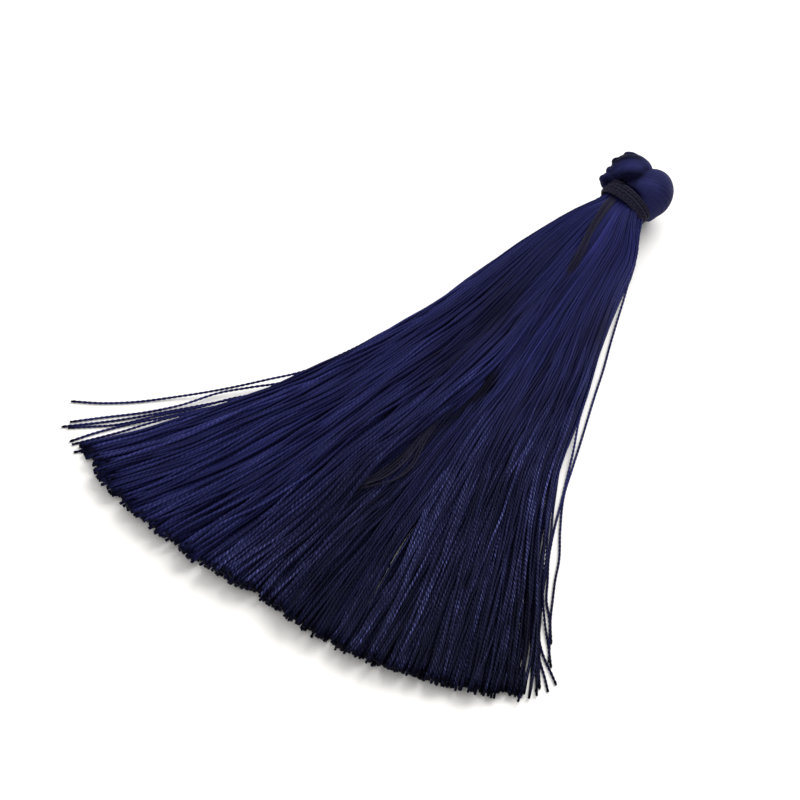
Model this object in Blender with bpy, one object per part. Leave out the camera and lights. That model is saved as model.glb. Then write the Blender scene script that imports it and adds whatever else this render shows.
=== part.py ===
"""Thread tassel lying fanned out on a flat surface.

One bundle of threads is doubled over to a two-lobed head, tied at the neck, and spread to a flat fan of locks
whose cut ends lie on an arc. A second thread is wound round the neck, and its free end lies on the skirt.

Every size is in millimetres, and the meshes are made in metres. +Y points from the skirt to the head, +Z up.
The origin is on the surface under the head, in the middle of the flat spot that the head rests on.
"""

import math
import random

import bmesh
import bpy
import numpy as np
from mathutils import Matrix, Vector
from mathutils.geometry import delaunay_2d_cdt

METRES_PER_MM = 0.001
SAME_POINT = 1e-5  # points nearer than this are one

# The head and the neck. Their common axis is turned a little from the skirt's, and rises towards the head.
HEAD_CENTRE = (0.0, -0.6, 4.1)
NECK_CENTRE = (-0.05, -2.75, 3.9)
NECK_TURN = math.radians(13.0)
NECK_RISE = math.radians(15.0)
NECK_HALF_WIDTH = 2.7
NECK_HALF_HEIGHT = 2.0
NECK_HALF_LENGTH = 1.3
RING_POINTS = 54
HEAD_RINGS = 13
HEAD_LAST_ANGLE = math.radians(103.0)
RIDGE_HEIGHT = 0.22
LOBE_SHARPNESS = 30.0  # how crisply two lobes meet in their groove

# The lobes of the head: where each lies from the head's centre, and its half sizes.
HEAD_LOBES = (
    # x, y, z, half x, half y, half z
    (0.2, 0.1, 0.0, 3.1, 2.8, 4.3),
    (1.9, 0.1, -0.1, 2.5, 3.1, 3.1),
    (-1.5, 0.6, 1.0, 2.6, 2.9, 2.9),
    (0.1, 0.4, -1.2, 3.4, 3.2, 3.4),
)

# The skirt. Distances run from the line through the neck along -Y.
SKIRT_START_Y = -3.2
THREAD_LENGTH = 70.0
LONGEST_REACH = 72.0  # how far the sections are followed to measure a thread
REACH_STEPS = 144
ROOT_LENGTH = 10.0  # the locks are fused from the neck to here
SHOULDER_RINGS = (3.6, 5.5, 7.6)
SHOULDER_RIDGE = 0.03  # as a share of the height
UNDERSIDE_AT_NECK = 0.95
UNDERSIDE_DOWN_AT = 7.0
TOP_ROUNDING = 3.0  # the power of the share across with which the top falls off to the edges
SKIRT_SECTIONS = (
    # distance, left edge, right edge, top height, edge height as a share of the top's
    (1.6, 2.9, 2.9, 5.80, 0.50),
    (3.0, 4.0, 3.9, 5.90, 0.50),
    (5.0, 5.4, 4.8, 5.70, 0.45),
    (10.0, 7.4, 6.4, 4.90, 0.40),
    (18.0, 9.3, 8.8, 3.90, 0.40),
    (26.0, 10.8, 11.1, 3.30, 0.42),
    (34.0, 13.3, 14.2, 2.90, 0.45),
    (42.0, 16.5, 16.9, 2.60, 0.50),
    (50.0, 22.4, 20.7, 2.40, 0.55),
    (57.0, 27.7, 24.9, 2.30, 0.60),
    (64.0, 32.7, 28.7, 2.20, 0.60),
    (71.0, 37.7, 32.5, 2.15, 0.60),
)

# The locks: a layer for each row, from the surface up.
LAYERS = (
    # locks, share of the skirt's width that the layer reaches
    (61, 0.995),
    (60, 0.985),
    (59, 0.960),
    (55, 0.920),
)
LOCK_WIDTH_SHARE = 0.86  # of the pitch, the rest being the gap
LOCK_THICKNESS_SHARE = 0.82
LOCK_STATIONS = (0.25, 0.53, 0.76, 1.0)  # shares of the free length at which a lock bends
LOCK_ROOT_SHARE = 0.88  # how thick a lock is at its root, where it grows out clear of the underside
RAGGED_END = 0.55
STRAY_LOCKS = (
    # layer, lock from the left (or, where negative, from the right), share of its length where it parts,
    # sideways at its end, lengthwise at its end, bow, slimness
    (0, 0, 0.50, -3.4, 4.3, 1.6, 0.40),
    (0, 1, 0.53, -2.2, 2.3, 1.6, 0.60),
    (1, 0, 0.53, -0.9, 0.9, 1.6, 0.60),
    (0, -1, 0.00, 1.4, 1.0, 0.35, 0.40),
    (0, 34, 0.90, 0.3, -1.7, 1.0, 0.45),
    (0, 38, 0.90, 0.2, -1.0, 1.0, 0.45),
)
SLIM_FROM = 0.5  # the share of its free length from which a stray lock has its full slimness

# The parting in the upper layers, where the skirt's left and right halves draw apart.
PARTING_STARTS = 27.0
PARTING_ENDS = 59.0
PARTING_HALF_WIDTH = 1.8
PARTING_ACROSS = 0.02  # where it lies, as a share of the half width
PARTING_REACH = 7.5  # how far sideways the locks give way
PARTING_EASE = 1.5  # the power that rounds its ends and eases the locks' giving way
PARTING_LOWEST_LAYER = 2

# The binding and its free end.
BINDING_INSIDE = 0.3  # off the neck
BINDING_OUTSIDE = 0.8
BINDING_HALF_LENGTH = 0.9
BINDING_TURNS = 5
BINDING_STEPS_PER_TURN = 4
BINDING_SIDES = 48
BINDING_RIDGE = 0.14
BINDING_CROWN = 0.10
TAIL_HALF_WIDTH = 0.15
TAIL_CLEARANCE = 0.32
TAIL_ROOT_ANGLE = math.radians(122.0)
TAIL_POINTS = 26
TAIL_ROUTE = (
    # x, distance from the neck, share of the skirt's height that it lies on
    (-2.10, 3.4, 1.00),
    (-2.05, 6.5, 1.00),
    (-1.60, 12.0, 1.00),
    (-0.80, 20.0, 1.00),
    (-0.10, 28.0, 1.00),
    (0.20, 33.0, 1.00),
    (0.35, 38.0, 0.80),
    (0.60, 43.0, 0.50),
    (0.85, 47.0, 0.50),
    (0.50, 50.5, 0.50),
    (0.20, 51.8, 0.50),
)

THREAD_COLOUR = (0.021, 0.021, 0.115, 1.0)
THREAD_ROUGHNESS = 0.45
THREAD_SHEEN = 0.3
THREAD_SHARP_ANGLE = math.radians(50.0)
BINDING_COLOUR = (0.015, 0.014, 0.024, 1.0)
BINDING_ROUGHNESS = 0.85
BINDING_SHEEN = 0.1
BINDING_SHARP_ANGLE = math.radians(60.0)
SEED = 7


def clear_scene():
    for old in list(bpy.data.objects):
        bpy.data.objects.remove(old, do_unlink=True)


def smooth_step(low, high, value):
    share = np.clip((value - low) / (high - low), 0.0, 1.0)
    return share * share * (3.0 - 2.0 * share)


def smooth_curve(stations, values, at):
    """Values between the stations, on one smooth curve through all of them."""
    slopes = np.gradient(values, stations)
    at = np.clip(at, stations[0], stations[-1])
    row = np.clip(np.searchsorted(stations, at) - 1, 0, len(stations) - 2)
    span = stations[row + 1] - stations[row]
    t = (at - stations[row]) / span
    start = values[row] * (1 + 2 * t) * (1 - t) ** 2 + slopes[row] * span * t * (1 - t) ** 2
    end = values[row + 1] * t * t * (3 - 2 * t) + slopes[row + 1] * span * t * t * (t - 1)
    return start + end


def section_value(column, distance):
    """One column of the table of sections, at any distance from the neck."""
    rows = np.array(SKIRT_SECTIONS)
    return smooth_curve(rows[:, 0], rows[:, column], distance)


def parting(across, half, distance):
    """How far a lock gives way sideways: half is -1 in the skirt's left half, 1 in its right, 0 deep down."""
    along = (distance - PARTING_STARTS) / (PARTING_ENDS - PARTING_STARTS)
    opening = PARTING_HALF_WIDTH * np.sin(math.pi * np.clip(along, 0.0, 1.0)) ** PARTING_EASE
    from_middle = half * (across - PARTING_ACROSS) * section_value(2, distance)
    return half * opening * np.clip(1.0 - from_middle / PARTING_REACH, 0.0, 1.0) ** PARTING_EASE


def skirt_section(across, share_up, distance, half=0):
    """Points of the skirt: across from -1 to 1, share_up from 0 below to 1 on top, distance from the neck."""
    side = np.where(across < 0, section_value(1, distance), section_value(2, distance))
    x = across * side + parting(across, half, distance)
    top = section_value(3, distance)
    top = top * (1 - (1 - section_value(4, distance)) * np.abs(across) ** TOP_ROUNDING)
    under = UNDERSIDE_AT_NECK * (1 - smooth_step(SKIRT_SECTIONS[0][0], UNDERSIDE_DOWN_AT, distance))
    return np.stack([x, SKIRT_START_Y - distance, under + share_up * (top - under)], axis=-1)


def thread_points(across, share_up, lengths, half=0):
    """Points of one thread, measured along it, so that all the cut ends are equally far from the neck."""
    distance = np.linspace(0.0, LONGEST_REACH, REACH_STEPS + 1)
    line = skirt_section(np.full_like(distance, across), share_up, distance)
    steps = np.linalg.norm(np.diff(line[:, :2], axis=0), axis=1)
    along = np.concatenate([[0.0], np.cumsum(steps)])
    at = np.interp(lengths, along, distance)
    return skirt_section(np.full_like(at, across), share_up, at, half)


def neck_frame():
    """The side, length and up directions of the head and the neck."""
    side = np.array([math.cos(NECK_TURN), -math.sin(NECK_TURN), 0.0])
    level = np.array([math.sin(NECK_TURN), math.cos(NECK_TURN), 0.0])
    length = math.cos(NECK_RISE) * level + math.sin(NECK_RISE) * np.array([0.0, 0.0, 1.0])
    return side, length, np.cross(side, length)


def ring_angles():
    return (np.arange(RING_POINTS) + 0.5) * 2 * math.pi / RING_POINTS


def head_radius(direction):
    """From the head's centre to the outside of whichever lobe reaches furthest that way."""
    total = 0.0
    for x, y, z, half_x, half_y, half_z in HEAD_LOBES:
        half = np.array([half_x, half_y, half_z])
        ray, centre = direction / half, np.array([x, y, z]) / half
        a, b, c = ray @ ray, ray @ centre, centre @ centre - 1.0
        inside = b * b - a * c
        if inside > 0.0:
            total += ((b + math.sqrt(inside)) / a) ** LOBE_SHARPNESS
    return total ** (1.0 / LOBE_SHARPNESS)


def head_ring(polar):
    side, length, up = neck_frame()
    points = []
    for number, angle in enumerate(ring_angles()):
        around = math.cos(angle) * side + math.sin(angle) * up
        direction = math.cos(polar) * length + math.sin(polar) * around
        ridge = RIDGE_HEIGHT * math.sin(polar) ** 2 * (0.5 if number % 2 else -0.5)
        points.append(np.array(HEAD_CENTRE) + (head_radius(direction) + ridge) * direction)
    points = np.array(points)
    points[:, 2] = np.maximum(points[:, 2], 0.0)
    return points


def neck_point(angle, along, proud):
    """A point round the neck, standing proud of it, at a distance along it from its middle."""
    side, length, up = neck_frame()
    across = (NECK_HALF_WIDTH + proud) * math.cos(angle) * side
    return np.array(NECK_CENTRE) + across + (NECK_HALF_HEIGHT + proud) * math.sin(angle) * up + along * length


def neck_ring(along):
    return np.array([neck_point(angle, along, 0.0) for angle in ring_angles()])


def shoulder_ring(length):
    """A section of the fused roots: its ridged top and its level underside, each from side to side."""
    angles = ring_angles()
    across = np.cos(angles) / math.cos(math.pi / RING_POINTS)
    share_up = np.where(angles < math.pi, 1.0, 0.0)
    share_up[1:RING_POINTS // 2:2] -= SHOULDER_RIDGE
    return np.array([thread_points(a, up, np.array([length]))[0] for a, up in zip(across, share_up)])


def lock_corners(across, share_up, half_across, half_up):
    return [
        (across - half_across, share_up - half_up),
        (across + half_across, share_up - half_up),
        (across + half_across, share_up + half_up),
        (across - half_across, share_up + half_up),
    ]


def stray_shift(stray, share):
    """How far a stray lock has left its place, and how slim it has become, at a share of its free length."""
    _, _, parts_at, sideways, lengthwise, bow, slimness = stray
    along = max(0.0, (share - parts_at) / (1.0 - parts_at)) ** bow
    slim = 1.0 - (1.0 - slimness) * min(1.0, share / SLIM_FROM)
    return np.array([sideways * along, lengthwise * along, 0.0]), slim


def stray_of(layer, number):
    """The row of the table for a lock that strays, whose number may be counted back from the layer's end."""
    numbers = (number, number - LAYERS[layer][0])
    return next((row for row in STRAY_LOCKS if row[0] == layer and row[1] in numbers), None)


def lock_rings(layer, number, across, share_up, half_across, half_up, length):
    """The four-cornered rings of one lock, from its root to its cut end."""
    stray = stray_of(layer, number)
    half = 0 if layer < PARTING_LOWEST_LAYER else int(math.copysign(1, across - PARTING_ACROSS))
    rings = []
    for share in (0.0,) + LOCK_STATIONS:
        at = np.array([ROOT_LENGTH + share * (length - ROOT_LENGTH)])
        shift, slim = stray_shift(stray, share) if stray else (0.0, 1.0)
        thick = LOCK_ROOT_SHARE if share == 0.0 else 1.0
        corners = lock_corners(across, share_up, half_across * slim, half_up * thick)
        rings.append(np.array([thread_points(a, s, at, half)[0] for a, s in corners]) + shift)
    return rings


def all_locks():
    """Every lock as its list of rings, the lowest layer first and each from left to right."""
    ragged = random.Random(SEED)
    half_up = 0.5 * LOCK_THICKNESS_SHARE / len(LAYERS)
    locks = []
    for layer, (count, reach) in enumerate(LAYERS):
        pitch = 2.0 * reach / count
        half_across = 0.5 * pitch * LOCK_WIDTH_SHARE
        share_up = layer / len(LAYERS) + half_up
        for number in range(count):
            across = -reach + (number + 0.5) * pitch
            length = THREAD_LENGTH + ragged.uniform(-RAGGED_END, RAGGED_END)
            locks.append(lock_rings(layer, number, across, share_up, half_across, half_up, length))
    return locks


class Shell:
    """Gathers the points and faces of one closed surface."""

    def __init__(self):
        self.points, self.faces = [], []

    def add_ring(self, ring):
        first = len(self.points)
        self.points.extend(tuple(point) for point in ring)
        return list(range(first, len(self.points)))

    def join(self, ring, following):
        """Quads from one ring to the next, facing out where a ring runs right-handed along the way."""
        count = len(ring)
        for i in range(count):
            j = (i + 1) % count
            self.faces.append((ring[i], ring[j], following[j], following[i]))

    def close(self, ring):
        self.faces.append(tuple(ring))

    def to_object(self, name, material, sharp_angle, place=Matrix()):
        """The object, with its points moved into its own frame and its origin at its place."""
        mesh = bpy.data.meshes.new(name)
        inverse = place.inverted()
        points = [inverse @ Vector(METRES_PER_MM * c for c in point) for point in self.points]
        mesh.from_pydata(points, [], self.faces)
        work = bmesh.new()
        work.from_mesh(mesh)
        bmesh.ops.recalc_face_normals(work, faces=work.faces)
        work.to_mesh(mesh)
        work.free()
        mesh.shade_smooth()
        mesh.set_sharp_from_angle(angle=sharp_angle)
        mesh.materials.append(material)
        made = bpy.data.objects.new(name, mesh)
        made.matrix_world = place
        bpy.context.scene.collection.objects.link(made)
        return made


def plain_material(name, colour, roughness, sheen):
    material = bpy.data.materials.new(name)
    material.use_nodes = True
    shader = material.node_tree.nodes["Principled BSDF"]
    shader.inputs["Base Color"].default_value = colour
    shader.inputs["Roughness"].default_value = roughness
    shader.inputs["Metallic"].default_value = 0.0
    shader.inputs["Sheen Weight"].default_value = sheen
    return material


def add_root_face(shell, rim, rim_points, root_rings, root_points):
    """Fills the end of the backing between its rim and the roots of the locks."""
    flat = [Vector((x, z)) for x, _, z in rim_points]
    outlines = [list(range(len(rim)))]
    numbers = list(rim)
    for ring, points in zip(root_rings, root_points):
        outlines.append(list(range(len(flat), len(flat) + len(ring))))
        flat.extend(Vector((x, z)) for x, _, z in points)
        numbers.extend(ring)
    made, _, faces, came_from, _, inside = delaunay_2d_cdt(flat, [], outlines, 1, SAME_POINT)
    if len(made) != len(flat):
        raise ValueError("the roots of two locks touch")
    for face, outlines_of in zip(faces, inside):
        if outlines_of == [0]:  # inside the rim and in no root
            shell.faces.append(tuple(numbers[came_from[point][0]] for point in face))


def make_thread_bundle():
    shell = Shell()
    head = [head_ring(HEAD_LAST_ANGLE * (i + 1) / HEAD_RINGS) for i in range(HEAD_RINGS)]
    neck = [neck_ring(share * NECK_HALF_LENGTH) for share in (1.0, 0.0, -1.0)]
    shoulder = [shoulder_ring(length) for length in SHOULDER_RINGS + (ROOT_LENGTH,)]
    rings = [shell.add_ring(ring) for ring in head + neck + shoulder]
    crown = np.array(HEAD_CENTRE) + head_radius(neck_frame()[1]) * neck_frame()[1]
    top = shell.add_ring([crown])[0]
    for i in range(RING_POINTS):
        shell.faces.append((top, rings[0][i], rings[0][(i + 1) % RING_POINTS]))
    for ring, following in zip(rings, rings[1:]):
        shell.join(ring, following)
    root_rings, root_points = [], []
    for lock in all_locks():
        made = [shell.add_ring(ring) for ring in lock]
        for ring, following in zip(made, made[1:]):
            shell.join(ring, following)
        shell.close(made[-1])
        root_rings.append(made[0])
        root_points.append(lock[0])
    add_root_face(shell, rings[-1], shoulder[-1], root_rings, root_points)
    silk = plain_material("navy_thread", THREAD_COLOUR, THREAD_ROUGHNESS, THREAD_SHEEN)
    return shell.to_object("thread_bundle", silk, THREAD_SHARP_ANGLE)


def binding_profile(angle):
    """The binding's section at one angle: straight inside, with the wound turns standing out."""
    steps = BINDING_TURNS * BINDING_STEPS_PER_TURN
    along = np.linspace(-BINDING_HALF_LENGTH, BINDING_HALF_LENGTH, steps + 1)
    turn = (along / BINDING_HALF_LENGTH + 1) * BINDING_TURNS / 2 - angle / (2 * math.pi)
    ridge = BINDING_RIDGE * (np.abs(np.sin(math.pi * turn)) - 1.0)
    crown = -BINDING_CROWN * (along / BINDING_HALF_LENGTH) ** 2
    inside = [(BINDING_INSIDE, BINDING_HALF_LENGTH), (BINDING_INSIDE, -BINDING_HALF_LENGTH)]
    return list(zip(BINDING_OUTSIDE + ridge + crown, along)) + inside


def tail_line():
    """The middle of the free end, as a smooth curve that lies just above what carries it."""
    rows = np.array(TAIL_ROUTE)
    numbers = np.arange(len(rows), dtype=float)
    at = np.linspace(0.0, len(rows) - 1.0, TAIL_POINTS)
    points = []
    for x, distance, share_up in zip(*(smooth_curve(numbers, column, at) for column in rows.T)):
        across = x / section_value(1 if x < 0 else 2, distance)
        seat = skirt_section(np.array(across), min(share_up, 1.0), np.array(distance))
        points.append((x, seat[1], seat[2] + TAIL_CLEARANCE + TAIL_HALF_WIDTH))
    return np.array(points)


def tail_rings():
    """Square sections across the free end's line."""
    line = tail_line()
    tangents = np.gradient(line, axis=0)
    rings = []
    for point, tangent in zip(line, tangents):
        tangent = tangent / np.linalg.norm(tangent)
        side = np.cross(tangent, (0.0, 0.0, 1.0))
        side = TAIL_HALF_WIDTH * side / np.linalg.norm(side)
        up = np.cross(side, tangent)
        rings.append([point - side - up, point + side - up, point + side + up, point - side + up])
    return rings


def order_like(shell, corners, ring):
    """The corners in the order in which they lie nearest to their fellows in the ring."""
    def apart(order):
        return sum(math.dist(shell.points[a], shell.points[b]) for a, b in zip(order, ring))
    turned = [corners[i:] + corners[:i] for i in range(len(corners))]
    turned += [tuple(reversed(order)) for order in turned]
    return list(min(turned, key=apart))


def make_neck_binding():
    shell = Shell()
    profiles = []
    for i in range(BINDING_SIDES):
        angle = TAIL_ROOT_ANGLE + (i - 0.5) * 2 * math.pi / BINDING_SIDES
        ring = [neck_point(angle, along, proud) for proud, along in binding_profile(angle)]
        profiles.append(shell.add_ring(ring))
    for profile, following in zip(profiles, profiles[1:] + profiles[:1]):
        shell.join(profile, following)
    # The free end grows out of the face towards the skirt that lies between the first two sections.
    root = shell.faces.pop(len(profiles[0]) - 1)
    tail = [shell.add_ring(ring) for ring in tail_rings()]
    start = order_like(shell, root, tail[0])
    for ring, following in zip([start] + tail, tail):
        shell.join(ring, following)
    shell.close(tail[-1])
    place = Matrix.Translation(Vector(NECK_CENTRE) * METRES_PER_MM) @ Matrix.Rotation(-NECK_TURN, 4, "Z")
    charcoal = plain_material("charcoal_thread", BINDING_COLOUR, BINDING_ROUGHNESS, BINDING_SHEEN)
    return shell.to_object("neck_binding", charcoal, BINDING_SHARP_ANGLE, place)


def main():
    clear_scene()
    tassel = bpy.data.objects.new("tassel", None)
    bpy.context.scene.collection.objects.link(tassel)
    for piece in (make_thread_bundle(), make_neck_binding()):
        piece.parent = tassel


main()
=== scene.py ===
"""A navy thread tassel that lies fanned out on a white surface.

The skirt is about a thousand round two-ply threads that rest on each other, the head is the same hank
doubled over, in rounded ropes of thread, and a charcoal thread is wound round the neck. Lengths inside the
script are in millimetres, and the meshes are made in metres, in the frame of the solids: +Y from the skirt
to the head, +Z up, origin under the head.
"""

import math
from functools import partial

import bpy
import numpy as np
from bpy.props import FloatProperty, FloatVectorProperty, IntProperty, PointerProperty
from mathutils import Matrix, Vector


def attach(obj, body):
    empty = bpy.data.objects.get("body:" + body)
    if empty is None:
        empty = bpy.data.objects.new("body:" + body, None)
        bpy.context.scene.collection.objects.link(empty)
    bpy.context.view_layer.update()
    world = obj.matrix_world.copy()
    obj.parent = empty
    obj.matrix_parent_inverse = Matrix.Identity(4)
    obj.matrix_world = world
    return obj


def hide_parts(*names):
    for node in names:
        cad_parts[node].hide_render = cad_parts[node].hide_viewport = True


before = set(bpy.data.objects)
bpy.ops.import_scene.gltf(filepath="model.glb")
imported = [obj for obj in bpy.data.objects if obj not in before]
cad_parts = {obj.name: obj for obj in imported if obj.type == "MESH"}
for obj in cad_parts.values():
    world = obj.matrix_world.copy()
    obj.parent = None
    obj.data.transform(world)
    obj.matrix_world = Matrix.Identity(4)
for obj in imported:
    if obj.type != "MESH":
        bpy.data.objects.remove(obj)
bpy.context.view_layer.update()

bl_info = {
    "name": "Thread Tassel",
    "version": (1, 0, 0),
    "blender": (4, 5, 0),
    "location": "3D View > Sidebar > Tassel",
    "description": "Builds a fanned thread tassel, thread by thread, with its head, binding and studio stage",
    "category": "Add Mesh",
}

METRES_PER_MM = 0.001
UP = np.array([0.0, 0.0, 1.0])
FULL_TURN = 2 * math.pi
TINY = 1e-6

# The head and the neck. Their common axis is turned a little from the skirt's, and rises towards the head.
HEAD_CENTRE = np.array([0.0, -0.6, 4.1])
NECK_CENTRE = np.array([-0.05, -2.75, 3.9])
NECK_TURN = math.radians(13.0)
NECK_RISE = math.radians(15.0)
NECK_HALF_WIDTH = 2.7
NECK_HALF_HEIGHT = 2.0

# The doubled hank lies in rounded ropes of thread. Each has a place from the head's centre, half sizes, the
# pole that its threads circle, the height of its coarse strands, how far each strand stands out on the
# left, and its share of the settings' thread count.
HEAD_LEFT = np.array([-0.826, -0.5635, 0.0])
LEFT_POLE = (0.544, -0.798, -0.176)
HEAD_ROPES = (
    ("head_middle", (0.1, 0.1, -0.1), (2.3, 2.3, 2.6), LEFT_POLE, 0.02, (), 1.0),
    ("head_left", (-1.38, 1.21, 1.42), (2.62, 2.47, 2.08), LEFT_POLE, 0.035,
     (0.0, 0.0, 0.0, 0.0, 0.0, -0.1, -0.05, -0.2, -0.1), 1.0),
    ("head_corner", (-2.95, -0.72, 0.72), (1.2, 1.2, 1.15), LEFT_POLE, 0.03, (), 0.5),
    ("head_fold_1", (-2.82, -1.12, 1.05), (1.40, 0.72, 0.78), LEFT_POLE, 0.03, (), 0.35),
    ("head_fold_2", (-2.90, 0.16, 1.42), (1.20, 0.70, 0.70), LEFT_POLE, 0.03, (), 0.35),
    ("head_fold_3", (-2.78, 1.17, 2.12), (1.20, 0.70, 0.70), LEFT_POLE, 0.03, (), 0.35),
    ("head_fold_4", (-2.02, 2.46, 2.52), (1.20, 0.65, 0.65), LEFT_POLE, 0.03, (), 0.35),
    ("head_right", (1.67, 0.43, 0.29), (2.6, 3.2, 2.8), (0.30, -0.93, -0.20), 0.012, (), 1.0),
    ("head_under", (0.1, 0.4, -1.2), (3.2, 3.0, 2.8), (0.974, -0.225, 0.0), 0.05, (), 1.0),
)
HEAD_THREAD_PITCH = 2.4
HEAD_STATIONS = 54
HEAD_SUNK = 0.08  # how far the threads lie inside a rope's half sizes
HEAD_WAVER = 0.010  # of a thread's lean, on its way round
STRAND_SLANT = 0.6
STRAND_LEVELS = (-0.5, 0.5)
NOTCH_DEPTH = 0.22  # between the strands that stand out on the left
LEFT_BETWEEN = (0.35, 0.95)
FILLING_THREADS = 26
FILLING_STATIONS = 30
FILLING_DEPTH = 0.55
FILLING_RADIUS = 0.24
HEAD_TUCK_FROM = 0.6  # how far behind the head's centre its ropes turn in to the neck
HEAD_TUCK_SHARE = 0.35
HEAD_TUCK_MIDDLE = (1.9, 3.1)
HEAD_TUCK_BEHIND = (0.7, 2.6)
HEAD_TUCK_SHRINK = 0.40

# Where the head lies in shade or catches the light: x, y and z from its centre, reach, and change of
# brightness.
HEAD_LIGHT = (
    (-2.38, -0.56, 3.05, 0.7, 0.39), (-1.42, -0.04, 3.43, 0.7, 0.45), (-0.63, 0.71, 3.5, 0.7, 0.34),
    (1.07, -1.15, 2.64, 0.6, 0.42), (1.84, -0.58, 2.94, 0.7, 0.52), (2.86, -0.38, 2.67, 0.7, 0.3),
    (-3.78, 0.65, 2.75, 0.9, -0.7), (-2.94, 1.12, 3.36, 0.9, -0.8), (-2.17, 1.9, 3.48, 0.9, -0.8),
    (-1.03, 2.14, 3.43, 0.8, -0.7), (-4.02, -0.7, 2.05, 0.7, -0.5), (-2.07, -1.43, 2.08, 0.8, -0.8),
    (-1.03, -1.1, 2.54, 0.85, -0.95), (-0.19, -0.6, 2.72, 0.8, -0.95), (0.44, 0.21, 2.83, 0.55, -0.7),
    (0.52, 1.36, 2.93, 0.55, -0.6), (-2.63, -1.88, 1.1, 0.6, -0.59), (-3.2, -1.55, 1.5, 0.7, -0.5),
    (-1.38, -1.6, 1.42, 0.6, -0.59), (0.75, -1.74, 2.09, 0.5, -0.51), (4.23, 0.38, 0.76, 0.8, -0.2),
    (1.27, 2.88, 2.04, 0.8, -0.45), (2.16, 3.16, 1.65, 0.8, -0.45), (2.98, 3.05, 1.06, 0.8, -0.45),
    (3.66, 2.49, 0.29, 0.8, -0.45), (4.01, 1.43, -0.58, 0.8, -0.45), (3.8, 0.08, -1.28, 0.8, -0.35),
    (3.3, 0.2, 1.6, 1.7, -0.24),
)
HEAD_DARKEST = 0.22

# The skirt. Distances run from the line through the neck along -Y.
SKIRT_START_Y = -3.2
SKIRT_FIRST = -2.6  # the threads run on under the binding, into the head
LONGEST_REACH = 73.4
SKIRT_STATION = 1.0
TOP_ROUNDING = 3.0
ROUND_UNTIL = 1.0  # the section is the neck's oval up to here
FLAT_FROM = 8.0  # and flat underneath from here
LEFT, RIGHT = 1, 2  # columns of the sections
SKIRT_SECTIONS = (
    # distance, left edge, right edge, top height, edge height as a share of the top's, underside
    (-0.6, 2.55, 2.6, 5.75, 0.5, 2.05),
    (0.5, 2.85, 2.8, 5.5, 0.5, 1.7),
    (1.6, 3.25, 3.25, 5.55, 0.5, 1.35),
    (3, 4, 4, 5.9, 0.5, 0.8),
    (5, 5.4, 4.95, 5.7, 0.45, 0.3),
    (10, 7.5, 6.1, 4.9, 0.4, 0),
    (18, 9.3, 8.5, 3.9, 0.4, 0),
    (26, 11, 11.45, 3.3, 0.42, 0),
    (30, 12.4, 12.75, 3.1, 0.43, 0),
    (34, 13.8, 13.9, 2.9, 0.45, 0),
    (38, 15.4, 15.3, 2.75, 0.47, 0),
    (42, 17.1, 17.1, 2.6, 0.5, 0),
    (50, 21.6, 21.4, 2.4, 0.5, 0),
    (57, 25.8, 25.2, 2.3, 0.5, 0),
    (64, 31.2, 28.9, 2.2, 0.5, 0),
    (71, 36.8, 32.3, 2.15, 0.5, 0),
    (74, 38.8, 33.4, 2.15, 0.5, 0),
)
SKIRT_QUARTERS = (
    ("skirt_far_left", -1.1, -0.5), ("skirt_left", -0.5, 0.0),
    ("skirt_right", 0.0, 0.5), ("skirt_far_right", 0.5, 1.1),
)

# Places across between which something goes over from one half to the other.
SHADE_ACROSS = (0.1, -0.3)
STREAKS_ACROSS = (-0.2, 0.3)
LOW_LIGHT_ACROSS = (0.3, -0.4)
THICKER_ACROSS = (0.15, -0.15)
FADE_ACROSS = (-0.5, 0.5)
OVERHANG_ACROSS = (-1.0, -0.4)

# How the threads lie in the bundle.
LAYER_COUNT = 5
SPARSE_EDGES = ((0.3, -0.90, -1.0), (0.86, 0.865, 0.94))  # how much sparser, and from where to where across
PACKING = 0.92  # the share of a drawn-tight bundle's section that is thread
LOW_THICKER = 1.45  # the low threads, so that they close the view between the upper ones
LOW_BELOW = 0.4  # of the skirt's height
SINGLE_FROM = 0.75  # across; from here the threads stand singly and keep their own size
LEFT_THICKER = 0.31  # the left half's threads lie closer, pressed into each other
PARTING_THREADS = 34  # that lie low under the parting
PARTING_THREAD_PLACES = (0.0, 0.16)
PARTING_THREAD_HEIGHTS = (0.03, 0.35)
THREAD_STATIONS = 50
SEAT_STEPS = 401
SEAT_SCATTER = (0.05, 0.95)  # of a seat's width
HEIGHT_SCATTER = (-0.35, 0.35)  # of a layer's height
SETTLE_ROUNDS = 16
SETTLE_NEIGHBOURS = 26
SETTLE_STEP = 0.75
SETTLE_PULL = 0.03

# How the threads loosen away from the neck. A wander is a list of waves: the period, and how far it moves a
# thread.
LOOSE_BETWEEN = (4.0, 34.0)
LOOSER_BETWEEN = (30.0, 70.0)
LOOSER_SHARE = 0.6
LOWEST_FREEDOM = 0.15  # how much the lowest layer wanders, next to the others
THREAD_WANDER_X = ((62.0, 0.34), (31.0, 0.13), (17.0, 0.05), (10.0, 0.02))
THREAD_WANDER_Z = ((41.0, 0.12), (23.0, 0.08), (12.0, 0.03))
WISP_WANDER_X = ((70.0, 0.40), (30.0, 0.08))
WISP_WANDER_Z = ((47.0, 0.28), (22.0, 0.10))
WISP_SPREAD = 0.004
WAVE_STRETCH = (0.8, 1.25)
WISP_CLING = (0.30, 0.20)  # how far towards its wisp's middle a thread moves, and how much that changes
CLING_PERIOD = 9.0
CROSSING_ABOVE = 0.82  # of the skirt's height; some threads up there cross over the others
CROSSING_SHARE = 0.45
CROSSING_START = (8.0, 45.0)
CROSSING_LENGTH = 24.0
CROSSING_SPREAD = 1.2
CROSSING_LIFT = 0.12
CRIMP = 0.03
CRIMP_BETWEEN = (10.0, 30.0)
CRIMP_PERIODS = (4.5, 8.0)

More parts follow.
